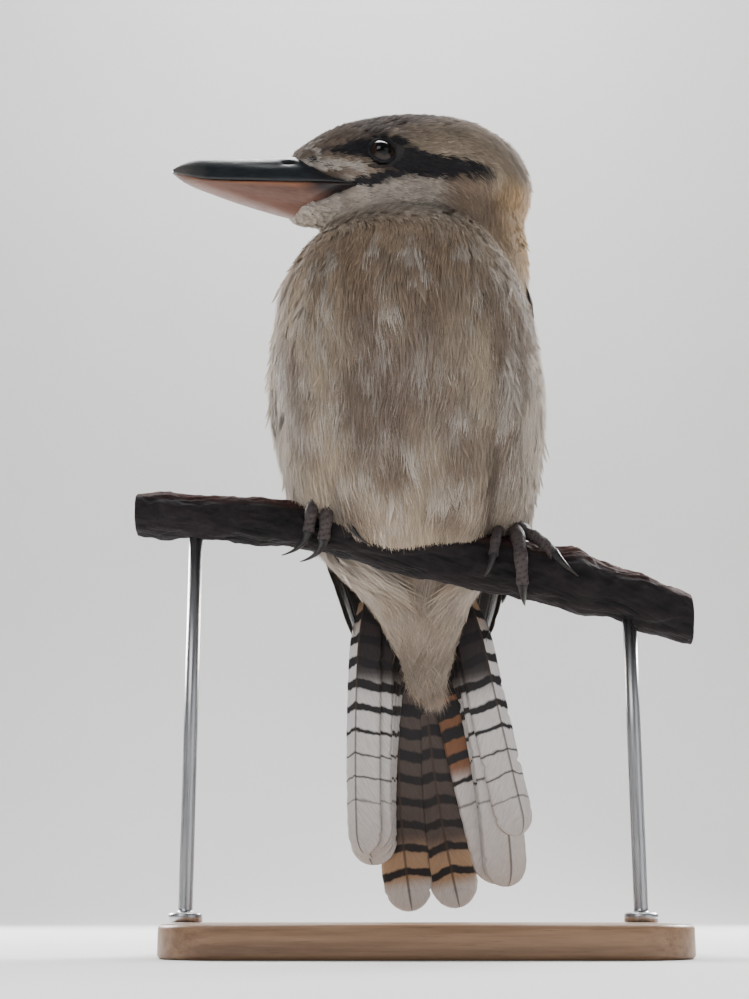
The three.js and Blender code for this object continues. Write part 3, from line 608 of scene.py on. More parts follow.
def coat(name, roots, length, width, depth, barbs, ruffle, loose, rows=4, thin=0.26):
    """Cupped vanes and loose barbs over the skin. Height above the skin is depth * (0.1 + 0.9 t^1.2), less the cup;
    slow waves raise whole clumps of feathers together. A barb is two thin steps and a point, and runs on past the
    vane to `loose` times the feather's length."""
    count = len(roots)
    length = length * dice.uniform(0.82, 1.18, count)
    width = width * dice.uniform(0.85, 1.15, count)
    path, facing = guides(roots, length, rows)
    flow = unit(np.gradient(path, axis=1))
    side = unit(np.cross(facing, flow))
    luck = dice.random(count)
    tint = markings_and_painted_light(path[:, 0] * 0.35 + path[:, 2] * 0.65) * dice.uniform(0.86, 1.12, (count, 1))
    place = unwrap(path[:, 0])
    t = np.linspace(0, 1, rows)
    clump = mottle(path[:, 0] * [1, 1, 0.55], 17, 51)[:, None] - 0.5
    raised = 1 + ruffle * (0.14 * dice.normal(size=(count, 1)) + 0.34 * clump)
    lift = depth[:, None] * (0.10 + 0.90 * t**1.2)[None] * raised
    half = np.array([0.45, 0.95, 0.66, 0.06]) * (0.72 if barbs > 12 else 1)
    across = np.array([-1.0, 0, 1.0])
    spot = (path[:, :, None] + facing[:, :, None] * (lift[:, :, None] - 0.16 * width[:, None, None]
            * (across**2)[None, None])[..., None]
            + side[:, :, None] * (half[None, :, None] * across * width[:, None, None] / 2)[..., None])
    spot[:, -1, 1] += flow[:, -1] * (0.10 * length)[:, None]
    one = np.ones((count, rows, 3))
    along, wide = one * t[None, :, None], one * across
    points = [spot.reshape(-1, 3)]
    values = {"along": [along.ravel()], "across": [wide.ravel()], "luck": [(one * luck[:, None, None]).ravel()],
              "tint": [np.repeat(tint, rows * 3, 0)]}
    uv = [np.stack([place[:, None, None, 0] + wide * PATCH_HALF_WIDTH,
                    place[:, None, None, 1] + (along - 0.5) * PATCH_LENGTH], -1).reshape(-1, 2)]

    feather = np.repeat(np.arange(count), barbs)
    n = len(feather)
    start, end = dice.uniform(0.05, 0.62, n), dice.uniform(0.9, loose, n)
    from_side = dice.uniform(-0.85, 0.85, n)
    to_side = from_side * dice.uniform(0.8, 1.35, n) + dice.normal(0, 0.16, n)
    up = dice.uniform(0.0, 0.35, n) * ruffle
    stations = np.stack([start, start * 0.4 + end * 0.6, end], 1)
    ride = np.clip(stations, 0, 1) * (rows - 1)
    low = np.minimum(ride.astype(int), rows - 2)
    share = (ride - low)[..., None]
    pick = feather[:, None]
    middle = path[pick, low] * (1 - share) + path[pick, low + 1] * share
    normal = unit(facing[pick, low] * (1 - share) + facing[pick, low + 1] * share)
    ahead, sideways = flow[pick, low + 1], side[pick, low + 1]
    beyond = np.maximum(stations - 1, 0) * length[feather][:, None]
    drift = np.stack([from_side, from_side * 0.4 + to_side * 0.6, to_side], 1)
    deep = depth[feather][:, None]
    height = (deep * (0.14 + 0.9 * np.clip(stations, 0, 1)**1.2)
              + deep * up[:, None] * np.array([0, 0.7, 1.0]) - 0.10 * width[feather][:, None] * np.abs(drift)
              - beyond * 0.22)
    centre = (middle + ahead * beyond[..., None] + normal * height[..., None]
              + sideways * (drift * width[feather][:, None] / 2)[..., None])
    sweep = sideways * thin / 2
    one_edge, other_edge = centre - sweep, centre + sweep
    strand = np.stack([one_edge[:, 0], other_edge[:, 0], one_edge[:, 1], other_edge[:, 1], centre[:, 2]], 1)
    points.append(strand.reshape(-1, 3))
    level = np.array([0, 0, 1, 1, 2])
    at = np.clip(stations, 0, 1)[:, level]
    values["along"].append(at.ravel())
    values["across"].append(drift[:, level].ravel())
    values["luck"].append(np.repeat(dice.random(n), 5))
    values["tint"].append(np.repeat(tint[feather] * dice.uniform(0.86, 1.16, (n, 1)), 5, 0))
    uv.append(np.stack([place[feather][:, None, 0] + np.clip(drift[:, level], -1, 1) * PATCH_HALF_WIDTH,
                        place[feather][:, None, 1] + (at - 0.5) * PATCH_LENGTH], -1).reshape(-1, 2))
    first = count * rows * 3 + np.arange(n)[:, None] * 5
    quads = np.concatenate([strip_faces(count, rows, 3), first + np.array([0, 1, 3, 2])])[:, ::-1]
    tris = first + np.array([2, 4, 3])
    made = make_mesh(name, np.concatenate(points), quads, tris, soft_plumage, np.concatenate(uv), closed=False,
                     **{k: np.concatenate(v) for k, v in values.items()})
    print(name, "feathers:", count, "triangles:", 2 * len(quads) + len(tris))
    return made


# %% [markdown]
# ## Wing and tail feathers
# A flight feather is a stiff blade on a shaft: narrow at the quill, parallel along the vane and round at the tip.
# Each one is a closed blade over a centre line, with the shaft standing up as a ridge, edges that are a little
# uneven, and a few splits where the barbs have come apart.

# %% Feather blades
FINE = np.array([-1, -0.88, -0.55, -0.2, -0.05, 0, 0.05, 0.2, 0.55, 0.88, 1])
PLAIN = np.array([-1, -0.6, 0, 0.6, 1])


def outline(t, root=0.35, tip_start=0.78):
    """Width over the blade's length: (root to 1 in the first 30 percent) times a round tip sqrt(1 - s^2)."""
    s = np.clip((t - tip_start) / (1 - tip_start), 0, 1)
    return (root + (1 - root) * ease(t, 0, 0.3)) * (0.06 + 0.94 * np.sqrt(1 - s * s))


def blades(name, spine, sideways, facing, half, columns=FINE, thickness=0.5, camber=0.07, splits=3, skew=0.0,
           **values):
    """Closed blades. spine, sideways and facing are (count, rows, 3), half is (count, rows), and each value is per
    blade, per row or, for a tint, per vertex. Height over the width u is camber * half * (1 - u^2), plus half the
    thickness to each face; the shaft stands skew * half off the middle."""
    count, rows = half.shape
    u = np.concatenate([columns, columns[-2:0:-1]])
    face = np.concatenate([np.ones(len(columns)), -np.ones(len(columns) - 2)])
    notch = np.zeros((count, rows, 2))
    for _ in range(splits):
        hit = dice.integers(rows // 4, rows - 2, (count, 2))
        np.put_along_axis(notch, hit[:, None], dice.uniform(0.0, 0.14, (count, 1, 2)), 1)
    ragged = 1 + 0.008 * dice.normal(size=(count, rows, 2))
    edge = (1 - notch) * ragged
    reach = np.where(u < 0, edge[..., :1], edge[..., 1:]) ** (np.abs(u) > 0.7)
    shaft = 0.42 * np.exp(-(u / 0.06) ** 2) if len(columns) > 6 else 0 * u
    rise = camber * half[..., None] * (1 - u * u) + face * (thickness / 2 * (1 - 0.8 * u**4) + shaft)
    aside = u * reach + np.reshape(skew, (-1, 1, 1)) * (1 - np.abs(u))
    spot = (spine[:, :, None] + sideways[:, :, None] * (half[..., None] * aside)[..., None]
            + facing[:, :, None] * rise[..., None])
    n = len(u)
    i, j = np.meshgrid(np.arange(rows - 1), np.arange(n), indexing="ij")
    k = (j + 1) % n
    sides = np.stack([i * n + j, i * n + k, (i + 1) * n + k, (i + 1) * n + j], -1).reshape(-1, 4)
    j = np.arange(len(columns) - 1)
    back = (n - j) % n
    end = (rows - 1) * n
    caps = np.concatenate([np.stack([j + 1, j, back, (n - j - 1) % n], -1),
                           end + np.stack([j, j + 1, (n - j - 1) % n, back], -1)])
    faces = np.concatenate([sides, caps])
    faces = np.array([list(dict.fromkeys(q)) + [-1] * (4 - len(dict.fromkeys(q))) for q in faces.tolist()])
    all_faces = np.arange(count)[:, None, None] * rows * n + faces[None]
    full = faces[:, 3] >= 0
    t = np.linspace(0, 1, rows)
    shape = (count, rows, n)
    data = {"along": np.broadcast_to(t[None, :, None], shape).ravel(), "across": np.broadcast_to(u, shape).ravel()}
    data["luck"] = np.broadcast_to(dice.random((count, 1, 1)), shape).ravel()
    for key, value in values.items():
        value = np.asarray(value, float)
        if key in ("tint", "second"):
            value = value if value.ndim == 4 else value.reshape(value.shape[0], -1, 1, 3)
            data[key] = np.broadcast_to(value, shape + (3,)).reshape(-1, 3)
        else:
            data[key] = np.broadcast_to(value.reshape(value.shape[0], -1, 1), shape).ravel()
    wide = int(np.ceil(np.sqrt(count)))
    cell = np.stack([np.arange(count) % wide, np.arange(count) // wide], -1)[:, None, None] / wide
    inside = np.stack(np.broadcast_arrays(u[None] * 0.5 + 0.5, t[:, None]), -1)
    uv = cell + (0.06 + 0.88 * inside) / wide
    made = make_mesh(name, spot.reshape(-1, 3), all_faces[:, full].reshape(-1, 4),
                     all_faces[:, ~full][..., :3].reshape(-1, 3), flight, uv.reshape(-1, 2), **data)
    print(name, "blades:", count, "triangles:", sum(len(p.vertices) - 2 for p in made.data.polygons))
    return made


# %% Flight feather material
def flight_material():
    """Ground colour with bars of a second one, a dark shaft, pale fringes and fine slanting barbs."""
    s = Surface("flight feather", 0.55, Sheen_Weight=0.1, Specular_IOR_Level=0.35)
    along, across, luck = s.attribute("along"), s.attribute("across"), s.attribute("luck")
    edge = s.maths("ABSOLUTE", across)
    steps = s.maths("ADD", s.attribute("level"), s.maths("MULTIPLY", edge, 0.22))
    ripple = s.noise(s.node("CombineXYZ", {"X": across, "Y": s.maths("MULTIPLY", along, 9.0),
                                           "Z": s.maths("MULTIPLY", luck, 50.0)}).outputs[0], 2.2, 2)
    steps = s.maths("ADD", steps, s.spread(ripple, 0.3, 0.7, -0.06, 0.06))
    wave = s.maths("ABSOLUTE", s.maths("SUBTRACT", s.maths("FRACT", steps), 0.5))
    duty = s.attribute("duty")
    inside = s.node("MapRange", {"Value": s.maths("SUBTRACT", duty, wave), "From Min": -0.04, "From Max": 0.04})
    barred = s.mix(s.maths("MULTIPLY", inside.outputs["Result"], s.attribute("barring")),
                   s.attribute("tint", "Color"), s.attribute("second", "Color"))
    barb = s.node("CombineXYZ", {"X": s.maths("MULTIPLY", luck, 31.0), "Y": s.maths("ADD", s.maths(
        "MULTIPLY", along, 1.0), s.maths("MULTIPLY", edge, -0.16)), "Z": s.maths("MULTIPLY", edge, 0.03)}).outputs[0]
    fibre = s.noise(barb, 150, 2.0, 0.6)
    shaded = s.mix(s.spread(fibre, 0.35, 0.68, 0.0, 0.35), barred, s.mix(1.0, barred, (0.4, 0.38, 0.37), "MULTIPLY"))
    fringe = s.maths("MAXIMUM", s.spread(edge, 0.80, 1.0), s.spread(along, 0.955, 1.0))
    fringed = s.mix(s.maths("MULTIPLY", fringe, s.attribute("fringe")), shaded, (0.15, 0.115, 0.09))
    shaft = s.mix(s.maths("MULTIPLY", s.spread(edge, 0.075, 0.03), 0.7), fringed, (0.055, 0.034, 0.022))
    return s.finish(shaft, fibre, 0.45, 0.0004)


flight = flight_material()

# %% [markdown]
# ## The folded wings
# A folded wing lies along the body like a shell, from the wrist by the breast to the primary tips by the tail.
# Places on it are given by a share of its length and a distance across, on a smooth envelope. Tiers of feathers
# lie over each other like shingles, longest at the bottom and shortest by the wrist.

# %% Places on a wing
# WING: z, middle x, half width, middle y, reach to the back.
WRIST_Z, TIPS_Z = 304, 128
WING = profile([
    [112, 3, 28, 40, 28], [134, 2, 34, 34, 33], [160, 1, 42, 22, 42], [190, -2, 50.5, 10, 49], [220, -3, 56, 6, 51],
    [250, -5, 59.5, 4, 50], [280, -5.5, 56, 2, 47], [300, -6, 48, 2, 42], [314, -6, 40, 2, 35]])


def wing_lead(side, share):
    """Degrees from the bird's side to the wing's leading edge; the breast's feathers lap over it."""
    return 13 - 22 * ease(share, 0.16, 0.02) * (side > 0) + 15 * ease(share, 0.2, 1.0)


def wing_point(side, share, across, lift):
    """On the envelope: share 0 at the wrist and 1 at the primary tips, across -1 in front and 1 by the spine."""
    z = WRIST_Z + (TIPS_Z - WRIST_Z) * share - across * 4
    lead = wing_lead(side, share)
    angle = np.radians(lead + (76 + 10 * share - lead) * (across + 1) / 2)
    lift = lift - 3.5 * ease(across, -0.5, -1.0)
    x, half, y, reach = np.moveaxis(WING(z), -1, 0)
    c, s = np.cos(angle), np.sin(angle)
    back = np.where(s > 0, reach, reach * 0.9)
    return np.stack([x + side * (half + lift) * np.abs(c) ** 0.9 * np.sign(c),
                     y + (back + lift) * np.sign(s) * np.abs(s) ** 0.9, z + 0 * c], -1)


def wing_tier(side, count, roots, tips, width, lifts, rows, shingle=0.13):
    """Centre lines, side directions, normals and half-widths of one row of wing feathers. roots and tips are the
    (share, across) of the first and the last feather, and the others lie evenly between them."""
    t = 1 - (1 - np.linspace(0, 1, rows)) ** 1.35
    order = np.linspace(0, 1, count)[:, None]
    root, tip = (first + (last - first) * order for first, last in np.array([roots, tips], float))
    share = root[:, :1] + (tip[:, :1] - root[:, :1]) * t
    across = root[:, 1:] + (tip[:, 1:] - root[:, 1:]) * ease(t)
    across = across + dice.normal(0, 0.012, (count, 1)) * t
    lift = np.linspace(lifts[0], lifts[1], count)[:, None] + 0 * t
    spine = wing_point(side, share, across, lift)
    step = 0.01
    down = unit(wing_point(side, share + step, across, lift) - wing_point(side, share - step, across, lift))
    over = unit(wing_point(side, share, across + step, lift) - wing_point(side, share, across - step, lift))
    facing = unit(np.cross(over, down)) * -side
    ahead = unit(np.gradient(spine, axis=1))
    front = unit(np.cross(ahead, facing)) * side
    tilt = shingle + 0.02 * dice.normal(size=(count, 1, 1))
    leaning, standing = unit(front + facing * tilt), unit(facing - front * tilt)
    return spine, leaning, standing, outline(t)[None] * width / 2 * dice.uniform(0.94, 1.06, (count, 1))


DARK, BROWN, SKY = np.array([0.022, 0.017, 0.015]), np.array([0.050, 0.034, 0.026]), np.array([0.15, 0.27, 0.37])
# Number of feathers, roots and tips of the first and last, width, lifts, rows of points, two colours, pale fringe.
TIERS = {
    "primaries": (9, [[.4, -.6], [.4, -.1]], [[1, -.72], [.84, .3]], 12, [1.2, 2.6], 30, DARK, DARK, .5),
    "secondaries": (10, [[.34, -.6], [.34, .5]], [[.7, -.6], [.82, .5]], 15, [3, 4.2], 28, DARK, BROWN, .6),
    "tertials": (4, [[.3, .5], [.3, .9]], [[.80, .58], [.60, .86]], 18, [5.2, 6.6], 28, BROWN, DARK, .7),
    "greater": (11, [[.24, -.78], [.24, .62]], [[.46, -.76], [.54, .56]], 15, [5.2, 6.2], 18, BROWN, SKY, .8),
    "median": (12, [[.13, -.82], [.13, .66]], [[.31, -.84], [.36, .66]], 14, [6.0, 6.8], 14, BROWN, SKY, .8)}


def wing(side, name):
    """A bed under the feathers, then primaries, secondaries, tertials, and greater, median and lesser coverts. The
    coverts fade to a pale blue tip."""
    share = np.linspace(0.0, 0.56, 30)[:, None]
    across = np.linspace(-1, 1, 26)[None]
    edge = np.sin(np.pi * np.linspace(0.06, 0.94, 30))[:, None] ** 0.45
    spread = across * (0.8 + 0.17 * edge)
    outer = wing_point(side, share + 0 * spread, spread, 3.2 * edge * (1 - across**4 * 0.7))
    inner = wing_point(side, share + 0 * spread, spread, -9.0 + 0 * spread)[:, ::-1]
    bed = tube(np.concatenate([outer, inner], 1)[:, ::-side])
    n = len(bed[0])
    plain = dict.fromkeys(("luck", "level", "duty", "barring", "fringe"), np.zeros(n))
    made = [make_mesh(name + "_bed", *bed, flight, along=np.full(n, 0.3), across=np.full(n, 0.4),
                      tint=np.repeat(BROWN[None], n, 0), second=np.repeat(BROWN[None], n, 0), **plain)]
    for label, (count, roots, tips, width, lifts, rows, tint, second, fringe) in TIERS.items():
        spine, lean, stand, half = wing_tier(side, count, roots, tips, width, lifts, rows)
        t = np.linspace(0, 1, rows)[None]
        own = tint * dice.uniform(0.85, 1.2, (count, 1))
        fade = ease(t, 0.72, 0.98) * (0.7 if second is SKY else 0.3)
        ground = own[:, None] + (second - own[:, None]) * fade[..., None]
        none = np.zeros((count, 1))
        made.append(blades(name + "_" + label, spine, lean, stand, half, tint=ground, second=second[None, None],
                           level=t * 6, duty=none, barring=none, fringe=none + fringe))
    parts, rows = [], 10
    for row, start in enumerate(np.linspace(0.205, -0.02, 7)):
        odd = row % 2
        a = -0.86 + 0.06 * odd
        tips = [[start + .13, a - .03], [start + .15, 0.84]]
        parts.append(wing_tier(side, 12 + odd, [[start, a], [start, 0.8]], tips, 12.5,
                               [6.6 + 0.25 * row, 7.2 + 0.2 * row], rows, 0.10))
    spine, lean, stand, half = (np.concatenate([p[k] for p in parts]) for k in range(4))
    t = np.linspace(0, 1, rows)[None, :, None]
    spine = spine - stand * (1 - t) ** 2 * 3
    own = BROWN * dice.uniform(0.7, 1.25, (len(half), 1))
    pale = dice.random((len(half), 1, 1)) < 0.35
    ground = own[:, None] + (SKY * 0.8 - own[:, None]) * np.where(pale, ease(t, 0.7, 1.0) * 0.7, 0)
    none = np.zeros((len(half), 1))
    made.append(blades(name + "_lesser", spine, lean, stand, half, PLAIN, 0.4, 0.12, tint=ground,
                       second=own[:, None], level=none, duty=none, barring=none, fringe=none + 0.55))
    return made


wings = {"wing_left": wing(1, "left_wing"), "wing_right": wing(-1, "right_wing")}

# %% [markdown]
# ## The tail
# Twelve feathers hang from under the rump, the middle pair above and the outermost nearest the camera. The middle
# pair is dark grey with black bars, and buff and white near its tips. The others turn from rufous to white down
# their length, with dark bars that thin out and end before the tip. The two outermost on each side have a pale
# outer vane.

# %% Tail feathers
TAIL_ROOT_Z, TAIL_MIDDLE_Z = 170, 93
# For each pair from the middle outwards: x at the root, x half way down, x at the tip, height of the tip, width.
TAIL = {-1: [[-2, -9, -3, 17.8, 22], [-8, -19.5, -20, 38, 21], [-11, -20.3, -20.3, 41, 21],
             [-14, -21, -20.8, 43, 20.5], [-17, -22, -21.3, 44, 20], [-21.5, -25, -24, 43, 15.5]],
        1: [[2, 5.7, 18.6, 19.4, 22], [6, 22.7, 38, 30, 22], [10, 32, 38.6, 29, 19.5],
            [13, 32.6, 39, 28.6, 19.5], [16, 33.2, 39.6, 28.5, 19.5], [19.5, 35.5, 45, 51, 17.5]]}


def tail_feathers(rows=64):
    """Each blade's middle line is the parabola through its three places, and it lies in its own layer."""
    s = np.linspace(0, 1, rows)
    t = (1 - (1 - s) ** 1.25)[None]
    pair = np.tile(np.arange(6), 2)[:, None]
    side = np.repeat([-1, 1], 6)[:, None]
    root, mid, tip, low, width = np.array(TAIL[-1] + TAIL[1], float).T[..., None]
    z = TAIL_ROOT_Z + (low - TAIL_ROOT_Z) * t
    m = (TAIL_ROOT_Z - TAIL_MIDDLE_Z) / (TAIL_ROOT_Z - low)
    x = root * (t - m) * (t - 1) / m + mid * t * (t - 1) / (m * (m - 1)) + tip * t * (t - m) / (1 - m)
    layer = -1.15 * (pair + 0.5 * (side < 0)) * (0.5 + 0.5 * ease(t, 0, 0.3))
    y = 53 + (TAIL_ROOT_Z - z) * 0.09 + layer - 2.4 * ((x - 8 * t) / 40) ** 2 + dice.normal(0, 0.25, (12, 1)) * t
    spine = np.stack(np.broadcast_arrays(x, y, z), -1)
    ahead = unit(np.gradient(spine, axis=1))
    facing = np.broadcast_to([0.0, -1.0, -0.09], spine.shape)
    facing = unit(facing - ahead * (facing * ahead).sum(-1, keepdims=True))
    sideways = unit(np.cross(facing, ahead))
    half = width / 2 * (0.42 + 0.58 * ease(t, 0, 0.3)) * np.sqrt(1 - np.clip((t - 0.92) / 0.08, 0, 1) ** 2 * 0.97)
    white, dark = np.array([0.72, 0.70, 0.69]), np.array([0.016, 0.014, 0.016])
    rufous, grey = np.array([0.24, 0.11, 0.055]), np.array([0.062, 0.050, 0.050])
    buff = np.array([0.46, 0.30, 0.18])
    middle_pair, inner_left = (pair == 0)[..., None], ((pair == 1) & (side > 0))[..., None]
    barred = grey + (buff - grey) * (0.06 + 0.84 * ease(z, 52, 40))[..., None]
    barred = barred + (white * 0.9 - barred) * ease(z, 33, 27)[..., None]
    turn_white = np.where(inner_left, ease(z, 84, 74)[..., None], ease(z, 132, 116)[..., None])
    ground = np.where(middle_pair, barred, rufous + (white - rufous) * turn_white)
    # Towards the root the tail goes nearly black: partly the feathers' own dark bases, partly painted shade under the
    # undertail coverts.
    ground = ground + (dark * 1.5 - ground) * (0.96 * ease(z, 112, 126))[..., None]
    u = np.concatenate([FINE, FINE[-2:0:-1]])
    outer_vane = (side * u > 0)[:, None, :, None] & (pair > 3)[..., None, None]
    pale_vane = buff * 0.8 + (white - buff * 0.8) * ease(z, 156, 134)[..., None]
    ground = np.where(outer_vane, pale_vane[:, :, None], ground[:, :, None])
    barring = np.where(pair == 0, ease(z, 26, 31), ease(z, 54, 74))
    duty = np.where(pair == 0, 0.17 + 0.10 * ease(z, 60, 110), 0.055 + 0.24 * ease(z, 84, 122))
    duty = np.where((pair == 1) & (side > 0), duty + 0.13 * ease(z, 70, 86), np.where(pair > 3, duty * 0.7, duty))
    skew = side * np.select([pair > 4, pair > 0], [0.5, 0.28], 0.0)
    return blades("tail_feathers", spine, sideways, facing, half, FINE, 0.55, 0.05, 4, skew, tint=ground,
                  second=dark[None, None], level=z / 10.4 + dice.uniform(-0.08, 0.08, (12, 1)), duty=duty,
                  barring=barring, fringe=np.full((12, 1), 0.06))


tail = tail_feathers()

# %% [markdown]
# ## The bill
# A kookaburra's bill is deep at its base, broad below and slightly hooked at the tip. The upper half is nearly
# black and the lower half is pinkish horn. Rings across the head's axis give each half, with a ridge on top.

# %% Upper and lower bill
# Distance ahead of the eyes, half width, height of the far ridge, height of the cutting edge.
UPPER = profile([
    [11, 17.0, -13.7, -14.2], [16, 16.9, -11.6, -14.2], [24, 15.5, -6.0, -14.2], [31, 13.4, 0.0, -14.1],
    [37, 11.6, 1.6, -14.2], [49, 10.3, -0.9, -15.2], [64, 8.4, -3.3, -16.2], [74, 6.5, -4.8, -16.6],
    [80, 4.9, -6.1, -16.2], [86, 2.9, -8.9, -15], [90.5, 0.8, -12, -13.5]])
LOWER = profile([
    [11, 16.8, -15.2, -14.5], [16, 16.6, -17.0, -14.5], [24, 15.0, -21.5, -14.5], [31, 13.0, -25.4, -14.4],
    [37, 11.0, -25.9, -14.5], [47, 9.8, -24.6, -15.3], [60, 8, -22.4, -16.3], [72, 5.8, -19.8, -16.9],
    [80, 4, -18, -16.5], [85, 2.7, -16.6, -15.4], [89, 0.8, -14.6, -13.9]])


def bill_half(name, rows_of, last, sign, material, rows=150, columns=72):
    """Rings from the base to the tip: half * sign(cos)|cos|^0.93 across and height * |sin|^0.92 up from the cutting
    edge. sign is 1 for the upper half and -1 for the lower. A lip, wear, a nostril and its groove are bell curves."""
    s = np.linspace(0, 1, rows)
    ahead = (11 + (last - 11) * (1 - (1 - s) ** 1.4))[:, None]
    half, far, edge = np.moveaxis(rows_of(ahead[:, 0]), 1, 0)[..., None]
    angle = np.linspace(0, 2 * np.pi, columns, endpoint=False)[None]
    c, q = np.cos(angle), np.sin(angle)
    height = np.abs(far - edge)
    rise = np.where(q > 0, np.abs(q) ** 0.92 * height, -0.12)
    ridge = 1 - 0.10 * np.where(q > 0, q, 0) ** 3 * (sign > 0)
    left = np.sign(c) * np.abs(c) ** 0.93 * half * ridge
    lip = 0.35 * np.exp(-((rise - 0.7) / 0.6) ** 2) * (q > 0)
    left = left + np.sign(c) * lip * half / 12
    worn = 0.10 * np.sin(ahead * 1.7 + 2 * left) * np.exp(-(rise / 1.2) ** 2)
    up = edge + sign * (rise + worn * (q > 0))
    past = ahead - 40
    nostril = np.exp(-((past / 2.6) ** 2 + ((up + 5.0 + past * 0.12) / 0.65) ** 2)) * (sign > 0)
    groove = np.exp(-(((up + 6.4 + past * 0.10) / 0.9) ** 2)) * ease(ahead, 66, 46) * (sign > 0) * 0.35
    left = left - np.sign(left) * (nostril * 1.7 + groove)

    def each(grid):
        return np.concatenate([(grid + 0 * left).ravel(), [grid[0].mean(), grid[-1].mean()]])

    return make_mesh(name, *tube(in_head(ahead + 0 * left, left, up)), material, ahead=each(ahead),
                     rise=each(rise / np.maximum(height, 1)), pit=each(nostril), out=each(np.abs(left)))


def horn(name, base, tip, scratch, line=None):
    """Satin horn: long growth streaks, fine scratches, a worn tip and a painted highlight along the cutting edge."""
    s = Surface(name, 0.4, Coat_Weight=0.08, Coat_Roughness=0.25, Specular_IOR_Level=0.4)
    ahead, rise = s.attribute("ahead"), s.attribute("rise")
    streak = s.noise(s.node("CombineXYZ", {"X": s.maths("MULTIPLY", ahead, 0.05), "Y": s.maths("MULTIPLY", rise, 5.0),
                                           "Z": s.maths("MULTIPLY", s.attribute("out"), 0.3)}).outputs[0], 3.0, 5, 0.6)
    patch = s.noise(s.place(), 130, 3, 0.6)
    colour = s.mix(s.spread(streak, 0.35, 0.7, 0.0, 0.8), base, scratch)
    colour = s.mix(s.spread(s.maths("ADD", ahead, s.maths("MULTIPLY", patch, 14.0)), 84, 97, 0.0, 0.8), colour, tip)
    if line is not None:
        # Painted highlight: a paler orange band along the cutting edge.
        edge_highlight = s.spread(s.maths("ADD", rise, s.maths("MULTIPLY", patch, 0.16)), 0.34, 0.16, 0.0, 0.85)
        colour = s.mix(edge_highlight, colour, line)
    colour = s.mix(s.spread(s.maths("ADD", rise, s.maths("MULTIPLY", streak, 0.3)), 0.2, 0.05, 0.0, 0.3), colour, tip)
    corner = s.spread(s.maths("ADD", ahead, s.maths("MULTIPLY", rise, 16.0)), 40, 30, 0.0, 0.94)
    colour = s.mix(corner, colour, (0.012, 0.011, 0.014))
    colour = s.mix(s.attribute("pit"), colour, (0.004, 0.004, 0.004))
    rough = s.spread(patch, 0.3, 0.7, 0.32, 0.52)
    height = s.maths("ADD", s.maths("MULTIPLY", streak, 0.8), s.noise(s.place(), 900, 2))
    return s.finish(colour, height, 0.22, 0.0003, rough)


bill_upper = bill_half("bill_upper_horn", UPPER, 90.5, 1, horn(
    "dark horn", (0.007, 0.009, 0.012), (0.10, 0.09, 0.08), (0.020, 0.026, 0.031)))
# The lower bill's last colour is the painted highlight along its cutting edge.
bill_lower = bill_half("bill_lower_horn", LOWER, 89, -1, horn(
    "pink horn", (0.155, 0.075, 0.056), (0.13, 0.08, 0.06), (0.22, 0.115, 0.085), (0.36, 0.155, 0.085)))
print("bill faces:", len(bill_upper.data.polygons) + len(bill_lower.data.polygons))

# %% [markdown]
# ## Eyes and lids
# The eye is a wet dark ball with a clear bulge over a brown iris. The lids are a narrow ring of bare dark skin,
# drawn a little to a point in front and behind, with small folds.

# %% Eyes
EYE_RADIUS, EYE_OUT, LID_RADIUS = 6.8, 20.0, 5.75


def eye_axes(side):
    """Middle of the ball, the way that it looks, and two directions across: forwards and up."""
    middle = in_head(0.0, side * EYE_OUT, 0.0)
    out = unit(0.2 * FORWARD + side * LEFT + 0.1 * UP)
    fore = unit(FORWARD - out * (FORWARD @ out))
    return middle, out, fore, unit(np.cross(out, fore)) * side


def eye(side, name):
    """A ball by polar angle and turn, whose radius is 0.55 more over the iris. The turn's fine waves make its rays."""
    middle, out, fore, up = eye_axes(side)
    polar = np.linspace(0, np.pi, 90)[:, None]
    turn = np.linspace(0, 2 * np.pi, 96, endpoint=False)[None]
    r = EYE_RADIUS + 0.55 * ease(polar, 0.75, 0.1)
    grid = (middle + (r * np.cos(polar) + 0 * turn)[..., None] * out
            + (r * np.sin(polar))[..., None] * (np.cos(turn)[..., None] * fore + np.sin(turn)[..., None] * up))

    def each(grid):
        return np.concatenate([(grid + 0 * turn)[1:-1].ravel(), [grid[0].mean(), grid[-1].mean()]])

    return make_mesh(name, *tube(grid[1:-1]), eye_material, polar=each(polar),
                     round=each(np.sin(turn * 23) * 0.5 + 0.5 + 0 * polar))


def lids(side, name):
    """A ring whose radius is a little more in front and behind, with a fold |sin| across its width."""
    middle, out, fore, up = eye_axes(side)
    turn = np.linspace(0, 2 * np.pi, 144, endpoint=False)[:, None]
    small = np.linspace(0, 2 * np.pi, 28, endpoint=False)[None]
    point = 1 + 0.09 * np.cos(turn) ** 8
    r = LID_RADIUS * point * (1 - 0.05 * np.abs(np.sin(turn)))
    thick = 0.85 + 0.08 * np.sin(turn * 31) * np.sin(small) + 0.25 * np.cos(turn) ** 8
    radial = r + thick * np.cos(small)
    depth = 4.0 - 0.5 * np.cos(turn) ** 8 + thick * 0.8 * np.sin(small)
    grid = middle + depth[..., None] * out + radial[..., None] * (
        np.cos(turn)[..., None] * fore + np.sin(turn)[..., None] * up)
    rows, columns = grid.shape[:2]
    i, j = np.meshgrid(np.arange(rows), np.arange(columns), indexing="ij")
    a, b = (i + 1) % rows, (j + 1) % columns
    quads = np.stack([i * columns + j, a * columns + j, a * columns + b, i * columns + b], -1).reshape(-1, 4)
    return make_mesh(name, grid, quads, (), lid_skin)


